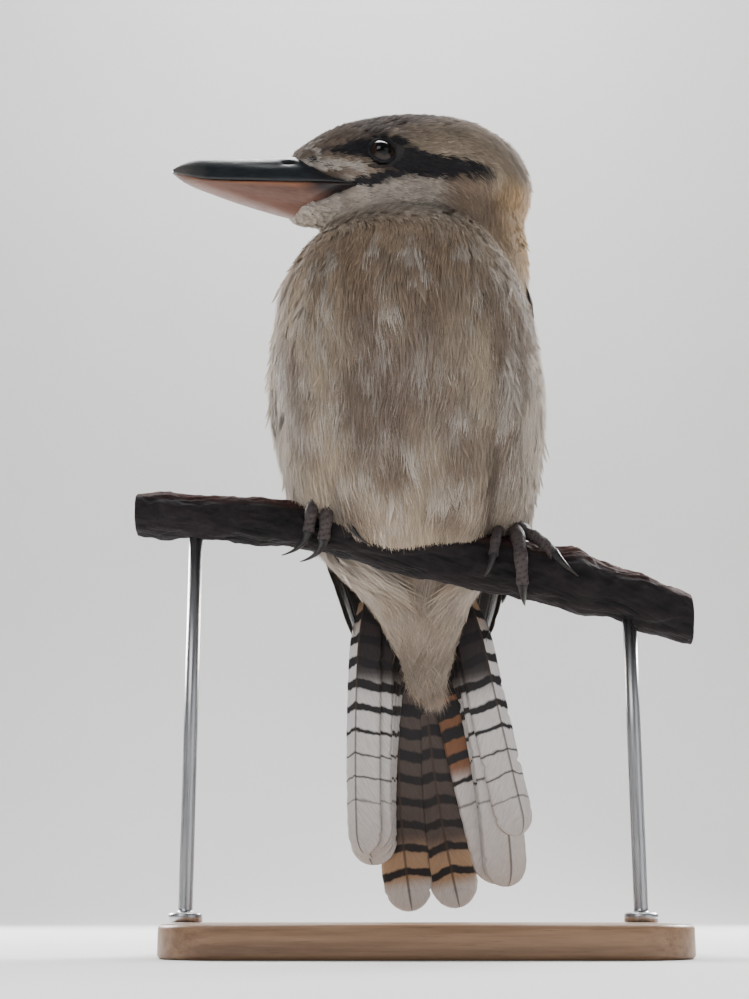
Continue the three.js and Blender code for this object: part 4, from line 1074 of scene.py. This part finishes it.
s = Surface("eye", 0.06, Specular_IOR_Level=0.32)
iris = s.mix(s.spread(s.noise(s.node("CombineXYZ", {"X": s.attribute("round"), "Y": s.attribute("polar")}).outputs[0],
                              9, 4), 0.3, 0.7), (0.012, 0.007, 0.005), (0.036, 0.019, 0.011))
iris = s.mix(s.spread(s.attribute("polar"), 0.56, 0.50), iris, (0.002, 0.002, 0.002))
eye_material = s.finish(s.mix(s.spread(s.attribute("polar"), 0.82, 0.92), iris, (0.008, 0.006, 0.005)))
s = Surface("lid skin", 0.65, Specular_IOR_Level=0.2)
fold = s.noise(s.place(), 1400, 4, 0.7)
lid_skin = s.finish(s.mix(s.spread(fold, 0.35, 0.65), (0.006, 0.006, 0.008), (0.022, 0.021, 0.023)), fold, 0.6, 0.0003)
eyes = {side: (eye(side, name), lids(side, name + "_lids")) for side, name in ((1, "left_eye"), (-1, "right_eye"))}
print("eyes and their lids:", sum(len(pair) for pair in eyes.values()))

# %% [markdown]
# ## The branch
# The branch is a bent, gnarled tube. Its bark is made of ridges that run along it, broken by cracks across, and
# small bosses where twigs have been. Both ends are sawn flat and show pale rings.

# %% Branch surface
# BRANCH: x, height of the middle, radius. GNARLS: x, extra radius, width.
BRANCH = profile([[-140, 188, 9], [-96, 185, 9.2], [-53, 181.5, 10], [4, 169.5, 11.8], [43, 161.6, 12.2],
                  [78, 153.6, 11.4], [116, 140, 10.8]])
GNARLS = np.array([[-112, 1.4, 7], [-72, 0.8, 9], [68, 2.6, 7], [96, 1.2, 6]])
ENDS = (-124, 116)


def branch_radius(x):
    """The plain radius plus a bell curve at each gnarl."""
    return BRANCH(x)[..., 1] + (GNARLS[:, 1] * np.exp(-((x[..., None] - GNARLS[:, 0]) / GNARLS[:, 2]) ** 2)).sum(-1)


def lobes(angle, x):
    """Slow waves round the branch that turn along it."""
    return 1 + 0.035 * np.sin(3 * angle + x * 0.06) + 0.02 * np.sin(5 * angle - x * 0.11)


def bark(rows=540, columns=180):
    """Radius times the slow lobes, plus ridges 1 - |wave| along the branch, plates and small bosses."""
    x = np.linspace(*ENDS, rows)[:, None]
    angle = np.linspace(0, 2 * np.pi, columns, endpoint=False)[None]
    r = branch_radius(x[:, 0])[:, None] * lobes(angle, x)
    z = BRANCH(x[:, 0])[:, :1]
    around = np.stack(np.broadcast_arrays(x * 0.30, 11 * np.cos(angle), 11 * np.sin(angle)), -1).reshape(-1, 3)

    def waves(along, size, seed):
        return mottle(around * [along, 1, 1], size, seed).reshape(rows, columns)

    ridges, fine = (1 - np.abs(2 * waves(*wave) - 1) for wave in ((1, 9, 41), (0.9, 3.6, 42)))
    plates, grain = waves(2.6, 12, 43), waves(1.6, 1.7, 44)
    height = 0.8 * ridges + 0.5 * fine + 0.6 * ease(plates, 0.35, 0.6) + 0.22 * grain - 1.1
    end = np.minimum(ease(x, ENDS[0], ENDS[0] + 3), ease(x, ENDS[1], ENDS[1] - 3))
    r = r + height * (0.35 + 0.65 * end)
    grid = np.stack([x + 0 * r, r * np.cos(angle), z + r * np.sin(angle)], -1)
    return make_mesh("branch_bark", *tube(grid), bark_material,
                     crack=np.concatenate([height.ravel(), [0, 0]]),
                     top=np.concatenate([(np.sin(angle) + 0 * r).ravel(), [0, 0]]))


def sawn_end(x, way, name):
    """A flat disc just proud of the bark's cut edge, with a slight saw ripple."""
    angle = np.linspace(0, 2 * np.pi, 160, endpoint=False)[None]
    share = np.linspace(0.02, 0.985, 40)[:, None]
    r = (branch_radius(np.array([float(x)])) - 0.5) * lobes(angle, x) * share
    ripple = 0.08 * np.sin(r * np.cos(angle) * 3.2 + 0.3 * r * np.sin(angle))
    face = np.stack([x + way * (0.25 + ripple - 0.35 * ease(share, 0.94, 1)), r * np.cos(angle),
                     BRANCH(np.array([float(x)]))[0, 0] + r * np.sin(angle)], -1)
    rim = face[-1:] - np.array([way * 1.4, 0, 0])
    return make_mesh(name, *tube(np.concatenate([face, rim])), sawn_material)


s = Surface("bark", 0.85, Specular_IOR_Level=0.3)
broad, speck = s.noise(s.place((0.4, 1, 1)), 60, 4), s.noise(s.place(), 650, 4, 0.65)
colour = s.mix(s.spread(s.attribute("crack"), -0.7, 0.5), (0.003, 0.003, 0.004), (0.015, 0.011, 0.012))
colour = s.mix(s.spread(broad, 0.5, 0.66, 0.0, 0.45), colour, (0.026, 0.020, 0.022))
# Painted light: the upward-facing side of the bark is patched reddish brown.
painted_top_light = s.maths("MULTIPLY", s.spread(s.attribute("top"), 0.45, 1.0, 0.0, 0.8), s.spread(speck, 0.35, 0.6))
colour = s.mix(painted_top_light, colour, (0.13, 0.040, 0.022))
colour = s.mix(s.spread(speck, 0.48, 0.7, 0.0, 0.5), colour, (0.006, 0.005, 0.006))
bark_material = s.finish(colour, speck, 0.7, 0.0008)
s = Surface("sawn wood", 0.7)
rings = s.node("TexWave", {"Vector": s.place((0.02, 1, 1)), "Scale": 180.0, "Distortion": 3.0, "Detail": 2.0},
               wave_type="RINGS", rings_direction="X").outputs["Fac"]
sawn_material = s.finish(s.mix(rings, (0.33, 0.21, 0.12), (0.50, 0.36, 0.22)), rings, 0.3, 0.0003)
branch = [bark(), sawn_end(ENDS[0], -1, "branch_end_right"), sawn_end(ENDS[1], 1, "branch_end_left")]
print("branch length:", ENDS[1] - ENDS[0], "mm")

# %% [markdown]
# ## Feet
# The three front toes are joined for part of their length, which is what lets a kingfisher's foot hold a branch
# like a flat strap. Each toe has pads below and a row of scutes on top. The toes are built as tubes round the
# branch, joined into one surface, and then the scutes are raised on that surface.

# %% Toes round the branch
# For each foot its side and its x; for each toe the degrees round the branch at its end and its start, its drift and
# offset along the branch, its radius, and how far its claw turns along the branch.
FEET = {
    "right": (-1, -41, {"outer": (112, 4, -4, -3.4, 3.2, -10), "middle": (120, 4, -3.4, 2.6, 3.3, -9),
                        "inner": (84, 8, 3, 8, 2.5, 7), "hind": (-98, -2, 3, 0, 3.1, 1)}),
    "left": (1, 41, {"outer": (66, 6, 12, 4, 3.1, 4), "middle": (124, 4, 2, 0, 3.3, 1),
                     "inner": (88, 8, -4, -6.4, 2.6, -2), "hind": (-108, -2, -3, 0, 3.1, -1)})}


def on_branch(x, degrees, lift):
    """A point over the bark: degrees run from the top over the front."""
    r = branch_radius(np.asarray(x, float)) * 1.045 + lift
    angle = np.radians(degrees)
    return np.stack([x + 0 * angle, -r * np.sin(angle), BRANCH(x)[..., 0] + r * np.cos(angle)], -1)


def toe_line(x, toe, share):
    """The toe's centre line and its radius at each share of its length; the radius swells at each joint."""
    end, start, drift, offset, radius, _ = toe
    share = np.asarray(share, float)
    centre = on_branch(x + offset + drift * share, start + (end - start) * share, 0.4 + radius * (1.06 - 0.26 * share))
    return centre, radius * (1 - 0.22 * share) * (1 + 0.08 * np.cos(share * 6 * np.pi))


def sweep_tube(centre, radius, up, columns=28, squash=1.0):
    """Rings round a centre line; up is the first direction across it at each ring."""
    ahead = unit(np.gradient(centre, axis=0))
    side = unit(np.cross(ahead, up))
    top = np.cross(side, ahead)
    angle = np.linspace(0, 2 * np.pi, columns, endpoint=False)[None, :, None]
    radius = np.asarray(radius)[:, None, None]
    return centre[:, None] + radius * (np.cos(angle) * side[:, None] + squash * np.sin(angle) * top[:, None])


def away_from_branch(points):
    """Unit directions from the branch's middle line."""
    axis = np.stack([points[:, 0], 0 * points[:, 0], BRANCH(points[:, 0])[:, 0]], -1)
    return unit(points - axis)


SCUTE_LENGTH = 2.3


def foot(name):
    """Tubes for the toes, heel and shank, joined by a fine remesh, then scutes 1 - s^3 raised along each toe."""
    side, x, toes = FEET[name]
    parts, samples = [], []
    share = np.linspace(0, 1, 40)
    for toe in toes.values():
        centre, radius = toe_line(x, toe, share)
        centre = np.concatenate([centre, centre[-1:] + (centre[-1:] - centre[-3:-2]) * 0.25])
        radius = np.concatenate([radius, radius[-1:] * 0.7])
        up = away_from_branch(centre)
        parts.append(tube(sweep_tube(centre, radius, up, squash=0.93)))
        length = np.concatenate([[0], np.cumsum(np.linalg.norm(np.diff(centre, axis=0), axis=1))])
        samples.append(np.column_stack([centre, up, length + 40 * len(samples), radius]))
    ankle = on_branch(np.array(float(x)), 0, 4.6)
    knee = ankle + np.array([-side * 2, 8, 24])
    t = np.linspace(0, 1, 24)[:, None]
    shank = ankle + (knee - ankle) * t
    radius = np.interp(t[:, 0], [0, .33, .66, 1], [4.9, 4.0, 3.9, 4.4])
    forward = np.repeat([[0, -1.0, 0.3]], 24, 0)
    parts.append(tube(sweep_tube(shank, radius, forward)))
    samples.append(np.column_stack([shank, forward, t[:, 0] * 25 + 400, radius]))
    ball_z = np.linspace(-0.96, 0.96, 20)[:, None]
    turn = np.linspace(0, 2 * np.pi, 32, endpoint=False)[None]
    flat = np.sqrt(1 - ball_z**2)
    ball = np.stack([7.2 * flat * np.cos(turn), 5.8 * flat * np.sin(turn), 4.4 * ball_z + 0 * turn], -1)
    parts.append(tube(ankle + ball))
    made = make_mesh(name + "_foot", *joined(parts))
    fuse(made, 0.42, 4)
    points, samples = vertex_array(made), np.concatenate(samples)
    centre, up, run, radius = samples[:, :3], samples[:, 3:6], samples[:, 6], samples[:, 7]
    nearest = (((points[:, None] - centre[None]) ** 2).sum(-1) / radius[None] ** 2).argmin(1)
    off = points - centre[nearest]
    out = unit(off)
    top = ease((out * unit(up[nearest])).sum(1), -0.15, 0.25)
    step = (run[nearest] + 0.35 * off[:, 0]) / SCUTE_LENGTH
    scute = 1 - ((step % 1) ** 3)
    pebbles = mottle(points, 1.1, 61)
    rise = top * 0.30 * scute + (1 - top) * 0.28 * pebbles - 0.15
    made.data.vertices.foreach_set("co", ((points + out * rise[:, None]) * MM).ravel())
    for key, value in (("scute", scute * top + (1 - top) * pebbles), ("luck", np.floor(step) * 0.37 % 1)):
        made.data.attributes.new(key, "FLOAT", "POINT").data.foreach_set("value", value)
    made.data.materials.append(foot_skin)
    print(made.name, "vertices:", len(points))
    return made


s = Surface("foot skin", 0.62, Specular_IOR_Level=0.35)
pores, worn = s.noise(s.place(), 1500, 3, 0.6), s.noise(s.place(), 220, 3, 0.6)
colour = s.mix(s.spread(s.attribute("scute"), 0.05, 0.5), (0.012, 0.010, 0.011), (0.064, 0.048, 0.046))
colour = s.mix(s.spread(worn, 0.4, 0.7, 0.0, 0.6), colour, (0.036, 0.030, 0.030))
foot_skin = s.finish(colour, s.maths("ADD", s.attribute("scute"), pores), 0.4, 0.0003)
feet = {"foot_" + name: foot(name) for name in FEET}

# %% [markdown]
# ## Claws
# A claw is a curved cone of dark horn that grows from the toe's end. Rings that shrink along a bent middle line
# keep its point sharp and its curve even.

# %% Claws
CLAW_LENGTH = 15


def claw(x, toe, name):
    """A curved cone from the toe's end: at t of its length it has come in by 0.24 t^2 and turned aside by t^2."""
    *_, radius, turn = toe
    tip, before = toe_line(x, toe, 1.0)[0], toe_line(x, toe, 0.94)[0]
    ahead = unit(tip - before)
    inward = unit(np.array([tip[0], 0, BRANCH(tip[0])[0]]) - tip)
    rows, columns = 46, 26
    t = np.linspace(0, 1, rows)[:, None]
    reach = CLAW_LENGTH * radius / 3.2 * t
    centre = (tip + ahead * (reach * (1 - 0.25 * t) - 0.4) + inward * (0.24 * reach * t - 0.6)
              + np.array([turn, 0, 0]) * t * t)
    thick = radius * (0.70 + (0.07 - 0.70) * t[:, 0] ** 0.85)
    grid = sweep_tube(centre, thick, np.repeat(-inward[None], rows, 0), columns, 1.12)
    return make_mesh(name, *tube(grid), claw_horn, along=np.concatenate([np.repeat(t[:, 0], columns), [0, 1]]))


s = Surface("claw horn", 0.42, Specular_IOR_Level=0.35)
streak = s.noise(s.place(), 700, 3, 0.6)
to_tip = s.spread(s.attribute("along"), 0.3, 1.0, 0.0, 0.5)
colour = s.mix(s.spread(streak, 0.4, 0.7), (0.008, 0.007, 0.008), (0.026, 0.022, 0.022))
claw_horn = s.finish(s.mix(to_tip, colour, (0.05, 0.042, 0.038)), streak, 0.2, 0.0002)
claws = {f"claw_{foot_name}_{toe_name}": claw(x, toe, f"{foot_name}_{toe_name}_claw")
         for foot_name, (_, x, toes) in FEET.items() for toe_name, toe in toes.items()}
print("claws:", len(claws))

# %% [markdown]
# ## The display stand
# A flat wooden base carries two thin steel rods that go up into the branch, clear of the tail. The base has a
# rounded outline and a soft bevel, and each rod stands in a small collar.

# %% Base and rods
def base(name, width=208.0, depth=128.0, height=13.0, corner=26.0, bevel=2):
    """Rings of a rounded rectangle, moved in by a quarter circle at the bevels."""
    turn = np.linspace(0, 2 * np.pi, 240, endpoint=False)
    arc = np.linspace(0, np.pi / 2, 7)
    moved_in, risen = bevel - bevel * np.sin(arc), bevel - bevel * np.cos(arc)
    inset = np.concatenate([[60, 30, 10], moved_in, moved_in[::-1], [10, 30, 60]])
    z = np.concatenate([[0, 0, 0], risen, height - risen[::-1], [height] * 3])
    around = np.stack([np.cos(turn), np.sin(turn)], -1)
    core = np.sign(around) * [width / 2 - corner, depth / 2 - corner]
    r = corner - inset[:, None, None]
    shrink = np.clip(inset - corner, 0, None)[:, None, None]
    xy = core * (1 - shrink / 60) + around * np.maximum(r, 0.5)
    grid = np.concatenate([xy, np.broadcast_to(z[:, None, None], xy.shape[:2] + (1,))], -1)
    return make_mesh(name, *tube(grid), base_wood)


def rod(x, name):
    """A turned outline of collar and rod, spun round the upright axis."""
    top = BRANCH(np.array([float(x)]))[0, 0] - 6
    r = np.array([6.2, 7.0, 7.0, 6.7, 6.0, 3.6, 3.1, 3.0, 3.0, 3.0])[:, None]
    z = np.array([13.3, 13.6, 16.2, 16.9, 17.3, 17.5, 17.9, 19, 90, top])[:, None]
    turn = np.linspace(0, 2 * np.pi, 64, endpoint=False)[None]
    return make_mesh(name, *tube(np.stack([x + r * np.cos(turn), r * np.sin(turn), z + 0 * turn], -1)), steel)


s = Surface("oiled wood", 0.42, Coat_Weight=0.15, Coat_Roughness=0.3)
warp = s.noise(s.place((0.5, 3, 3)), 9, 3)
grain = s.noise(s.place((0.9, 16, 16)), 22, 6, 0.62)
pore = s.noise(s.place((3, 70, 70)), 14, 3, 0.7)
colour = s.mix(s.spread(s.maths("ADD", grain, s.maths("MULTIPLY", warp, 0.5)), 0.55, 0.95),
               (0.20, 0.105, 0.055), (0.37, 0.22, 0.125))
colour = s.mix(s.spread(pore, 0.60, 0.72, 0.0, 0.6), colour, (0.09, 0.045, 0.025))
base_wood = s.finish(colour, s.maths("SUBTRACT", grain, pore), 0.12, 0.0003, s.spread(grain, 0.3, 0.7, 0.36, 0.5))
s = Surface("brushed steel", 0.32, Metallic=1.0)
brush = s.noise(s.place((1, 1, 0.02)), 1800, 3, 0.6)
steel = s.finish(s.mix(s.spread(brush, 0.3, 0.7), (0.46, 0.46, 0.47), (0.62, 0.62, 0.63)), brush, 0.05, 0.0002,
                 s.spread(brush, 0.3, 0.7, 0.26, 0.40))
stand_base = base("wooden_base")
rods = {"stand_rod_right": rod(-98, "right_rod"), "stand_rod_left": rod(90, "left_rod")}
print("stand: a base and", len(rods), "rods")

# %% [markdown]
# ## Laying the coat
# Feathers are smallest on the face and longest on the belly and flanks. None grow under the folded wings, on the
# bill, at the eyes or close to the branch, where the feet come out.

# %% Where feathers grow
def bare(points):
    """True near the eyes, the bill and the branch, and under the folded wings."""
    ahead, left, up = head_axes(points)
    at_eye = (((ahead - 2.0) / 9.0) ** 2 + (up / 7.2) ** 2 < 1) & (np.abs(left) > 12)
    wedge = 1.0 + 0.48 * (ahead - 13)
    bill = (ahead > 13) & (np.abs(up - MOUTH_UP) < wedge) & (np.abs(left) > 7) | (ahead > 35)
    share = (WRIST_Z - points[:, 2]) / (WRIST_Z - TIPS_Z)
    x, half, middle, reach = np.moveaxis(WING(points[:, 2]), -1, 0)
    angle = np.degrees(np.arctan2((points[:, 1] - middle) / reach, np.abs(points[:, 0] - x) / half))
    hidden = (angle > wing_lead(points[:, 0] - x, share) + 10) & (angle < 70 + 10 * share)
    hidden &= (share < 0.62) & (share > 0.0)
    axis = np.hypot(points[:, 1], points[:, 2] - BRANCH(points[:, 0])[:, 0])
    return at_eye | bill | hidden | (axis < branch_radius(points[:, 0]) + 2.0)


every_root = roots_per_face(lambda p: np.ones(len(p)))
second_root = roots_per_face(lambda p: head_axes(p)[0] > -84)
every_root = np.concatenate([every_root, second_root[second_root[:, 2] > 318]])
every_root = every_root[~bare(every_root)]
ahead, left, up = head_axes(every_root)
print("roots:", len(every_root))

# %% Feather sizes by place
x, y, z = every_root.T
below = ease(z, 324, 300)
length = 7.0 + 7.0 * np.maximum(ease(-ahead, 6, 60), below) + 9.0 * ease(z, 322, 286) + 5.0 * ease(z, 260, 205)
near_bill = ease(ahead, 14, 30) * (1 - below)
near_eye = ease(np.hypot(ahead, up), 18, 10) * (np.abs(left) > 10) * (1 - below)
length = length * (1 - 0.38 * near_bill) * (1 - 0.35 * near_eye)
width = length * (0.50 - 0.12 * ease(z, 322, 296))
depth = 2.3 + 1.6 * np.maximum(ease(-ahead, 0, 40), below) + 2.0 * ease(z, 322, 290)
depth = depth * (1 - 0.45 * near_bill) * (1 - 0.35 * near_eye)
chin = ease(ahead, -26, -8) * ease(up, -20, -26) * ease(z, 290, 302) * (1 - ease(z, 318, 326))
length, depth = length * (1 - 0.45 * chin), depth * (1 - 0.45 * chin)
wisp = ease(np.abs(x + 2), 14, 24) * ease(z, 182, 172) * ease(z, 140, 152)
length = length * (1 + 0.15 * wisp)
bark_gap = np.hypot(y, z - BRANCH(x)[:, 0]) - branch_radius(x)
above = (z > BRANCH(x)[:, 0]) & (y < 14)
length = np.where(above, np.minimum(length, bark_gap + 3.5), length)
depth = np.where(above, np.minimum(depth, 1.6 + 0.25 * bark_gap), depth)
width = np.minimum(width, length * 0.6)
keep = (1.0 - 0.35 * ease(z, 322, 292) - 0.10 * ease(z, 260, 200)) * ease(z, 113, 119)
chosen = dice.random(len(keep)) < keep
head_z, throat_z, breast_z, belly_z = 318, 284, 225, 168
# For each part of the coat: where it grows, barbs to a feather, how ruffled it is and how far its barbs run on.
parts = {
    "face": ((z > head_z) & (ahead > -22), 7, 0.7, 1.25),
    "crown": ((z > head_z) & (ahead <= -22) & (ahead > -54), 8, 0.9, 1.4),
    "nape": ((z > head_z) & (ahead <= -54), 9, 1.9, 1.4),
    "throat": ((z <= head_z) & (z > throat_z), 20, 1.5, 1.4),
    "breast_right": ((z <= throat_z) & (z > breast_z) & (x < -4), 30, 1.5, 1.4),
    "breast_left": ((z <= throat_z) & (z > breast_z) & (x >= -4), 30, 1.5, 1.4),
    "belly": ((z <= breast_z) & (z > belly_z), 30, 1.5, 1.4),
    "undertail": (z <= belly_z, 30, 1.5, 1.4)}
feathers = {}
for name, (where, barbs, ruffle, loose) in parts.items():
    pick = where & chosen
    feathers[name] = coat("coat_" + name, every_root[pick], length[pick], width[pick], depth[pick], barbs, ruffle,
                          loose)

# %% [markdown]
# ## Bristles at the bill
# Fine dark bristles stand at the bill's corner and over the nostrils, as in most kingfishers.

# %% Bristles
def bristles(name, count=90):
    """Thin three-sided needles that start round the bill's base and lean forwards and outwards."""
    side = np.where(np.arange(count) % 2, 1.0, -1.0)
    up0 = dice.uniform(-11, 3.0, count)
    ahead0 = 21 + 12 * ease(up0, -11, -4) + dice.uniform(-3, 0, count)
    root = on_skin(in_head(ahead0, side * 18, up0))[0]
    way = unit(np.multiply.outer(dice.uniform(0.6, 1.2, count), FORWARD)
               + np.multiply.outer(side * dice.uniform(0.3, 0.9, count), LEFT)
               + np.multiply.outer(dice.uniform(-0.5, 0.3, count), UP))
    long = dice.uniform(3.5, 8.5, count)[:, None, None]
    t = np.linspace(0, 1, 5)[None, :, None]
    bend = np.multiply.outer(dice.normal(-0.25, 0.15, count), UP)[:, None]
    line = root[:, None] + long * (t * way[:, None] + t * t * bend)
    across = unit(np.cross(way, UP))[:, None]
    third = np.cross(way[:, None], across)
    corner = np.array([0, 2.094, 4.189])[:, None]
    r = 0.16 * (1 - 0.9 * t[..., None, :])
    ring = line[:, :, None] + r * (np.cos(corner) * across[:, :, None] + np.sin(corner) * third[:, :, None])
    i, j = np.meshgrid(np.arange(4), np.arange(3), indexing="ij")
    k = (j + 1) % 3
    quads = np.stack([i * 3 + j, i * 3 + k, (i + 1) * 3 + k, (i + 1) * 3 + j], -1).reshape(1, -1, 4)
    quads = (np.arange(count)[:, None, None] * 15 + quads).reshape(-1, 4)
    return make_mesh(name, ring, quads, (), claw_horn, along=np.zeros(count * 15))


feathers["bristles"] = bristles("bristles")
print("bristle faces:", len(feathers["bristles"].data.polygons))

# %% [markdown]
# ## The studio
# A pale floor curves up into a wall. A large soft light comes from the front left, with a weak one from the right.
# Two from behind give the bright rims of the photograph, one comes from above and one lights the wall.

# %% Floor and lights
def sweep_floor(name, reach=3.0, back=1.6, radius=0.7):
    """A flat floor, a quarter circle and an upright wall, as one grid."""
    bend = np.linspace(0, np.pi / 2, 24)
    y = np.concatenate([np.linspace(-reach, back, 12), back + radius * np.sin(bend[1:]), [back + radius] * 6])
    z = np.concatenate([np.zeros(12), radius * (1 - np.cos(bend[1:])), radius + np.linspace(0.3, 3.0, 6)])
    x = np.linspace(-reach, reach, 14)
    grid = np.stack(np.broadcast_arrays(x[None], y[:, None], z[:, None]), -1)
    return make_mesh(name, grid / MM, strip_faces(1, len(y), 14), (), backdrop, closed=False)


s = Surface("backdrop", 0.9)
backdrop = s.finish(s.mix(s.noise(s.place(), 3, 2), (0.70, 0.70, 0.69), (0.76, 0.76, 0.75)))
studio = sweep_floor("studio_floor")


def lamp(name, place, target, size, power, colour=(1, 1, 1)):
    """A square area light, size in metres and power in watts, turned towards the target."""
    light = bpy.data.lights.new(name, "AREA")
    light.size, light.energy, light.color = size, power, colour
    made = bpy.data.objects.new(name, light)
    made.location = place
    made.rotation_euler = (Vector(target) - Vector(place)).to_track_quat("-Z", "Y").to_euler()
    bpy.context.scene.collection.objects.link(made)


middle = (0, 0, 0.22)
lamp("key", (-0.8, -1.4, 1.1), middle, 0.9, 9)
lamp("fill", (1.2, -1.1, 0.5), middle, 1.2, 3.6, (0.93, 0.96, 1))
lamp("rim_left", (-0.9, 0.8, 0.7), middle, 0.5, 30)
lamp("rim_right", (0.9, 0.9, 0.9), middle, 0.5, 40)
lamp("top", (0, 0.5, 1.5), middle, 0.6, 13)
lamp("wall_light", (0, 0.9, 2.4), (0, 2.2, 0.6), 1.6, 74)
world = bpy.data.worlds.new("studio air")
world.use_nodes = True
air = world.node_tree.nodes["Background"].inputs
air["Color"].default_value, air["Strength"].default_value = (0.80, 0.84, 0.90, 1), 0.17
bpy.context.scene.world = world

# %% [markdown]
# ## Ties to the imported model
# Each new piece rides on the one body and stands for the nodes it replaces.

# %% Riding and replacements
soft = [skin, *feathers.values()]
ties = [(soft, "plumage_pale", ["head", "neck", "torso"]), (wings["wing_left"], "plumage_dark", ["wing_left"]),
        (wings["wing_right"], "plumage_dark", ["wing_right"]), ([tail], "plumage_barred", ["tail"]),
        ([bill_upper], "bill_dark", ["bill_upper"]), ([bill_lower], "bill_horn", ["bill_lower"]),
        ([eyes[1][0]], "eye", ["eye_left"]), ([eyes[-1][0]], "eye", ["eye_right"]),
        ([eyes[1][1], eyes[-1][1]], "foot_skin", []), (branch, "bark", ["perch"]),
        ([stand_base], "base_wood", ["stand_base"])]
ties += [([piece], "foot_skin", [node]) for node, piece in feet.items()]
ties += [([piece], "claw", [node]) for node, piece in claws.items()]
ties += [([piece], "rod_steel", [node]) for node, piece in rods.items()]
for pieces, slot, nodes in ties:
    for piece in pieces:
        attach(piece, "root")
    if nodes:
        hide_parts(*nodes)
print("pieces:", sum(len(pieces) for pieces, _, _ in ties))
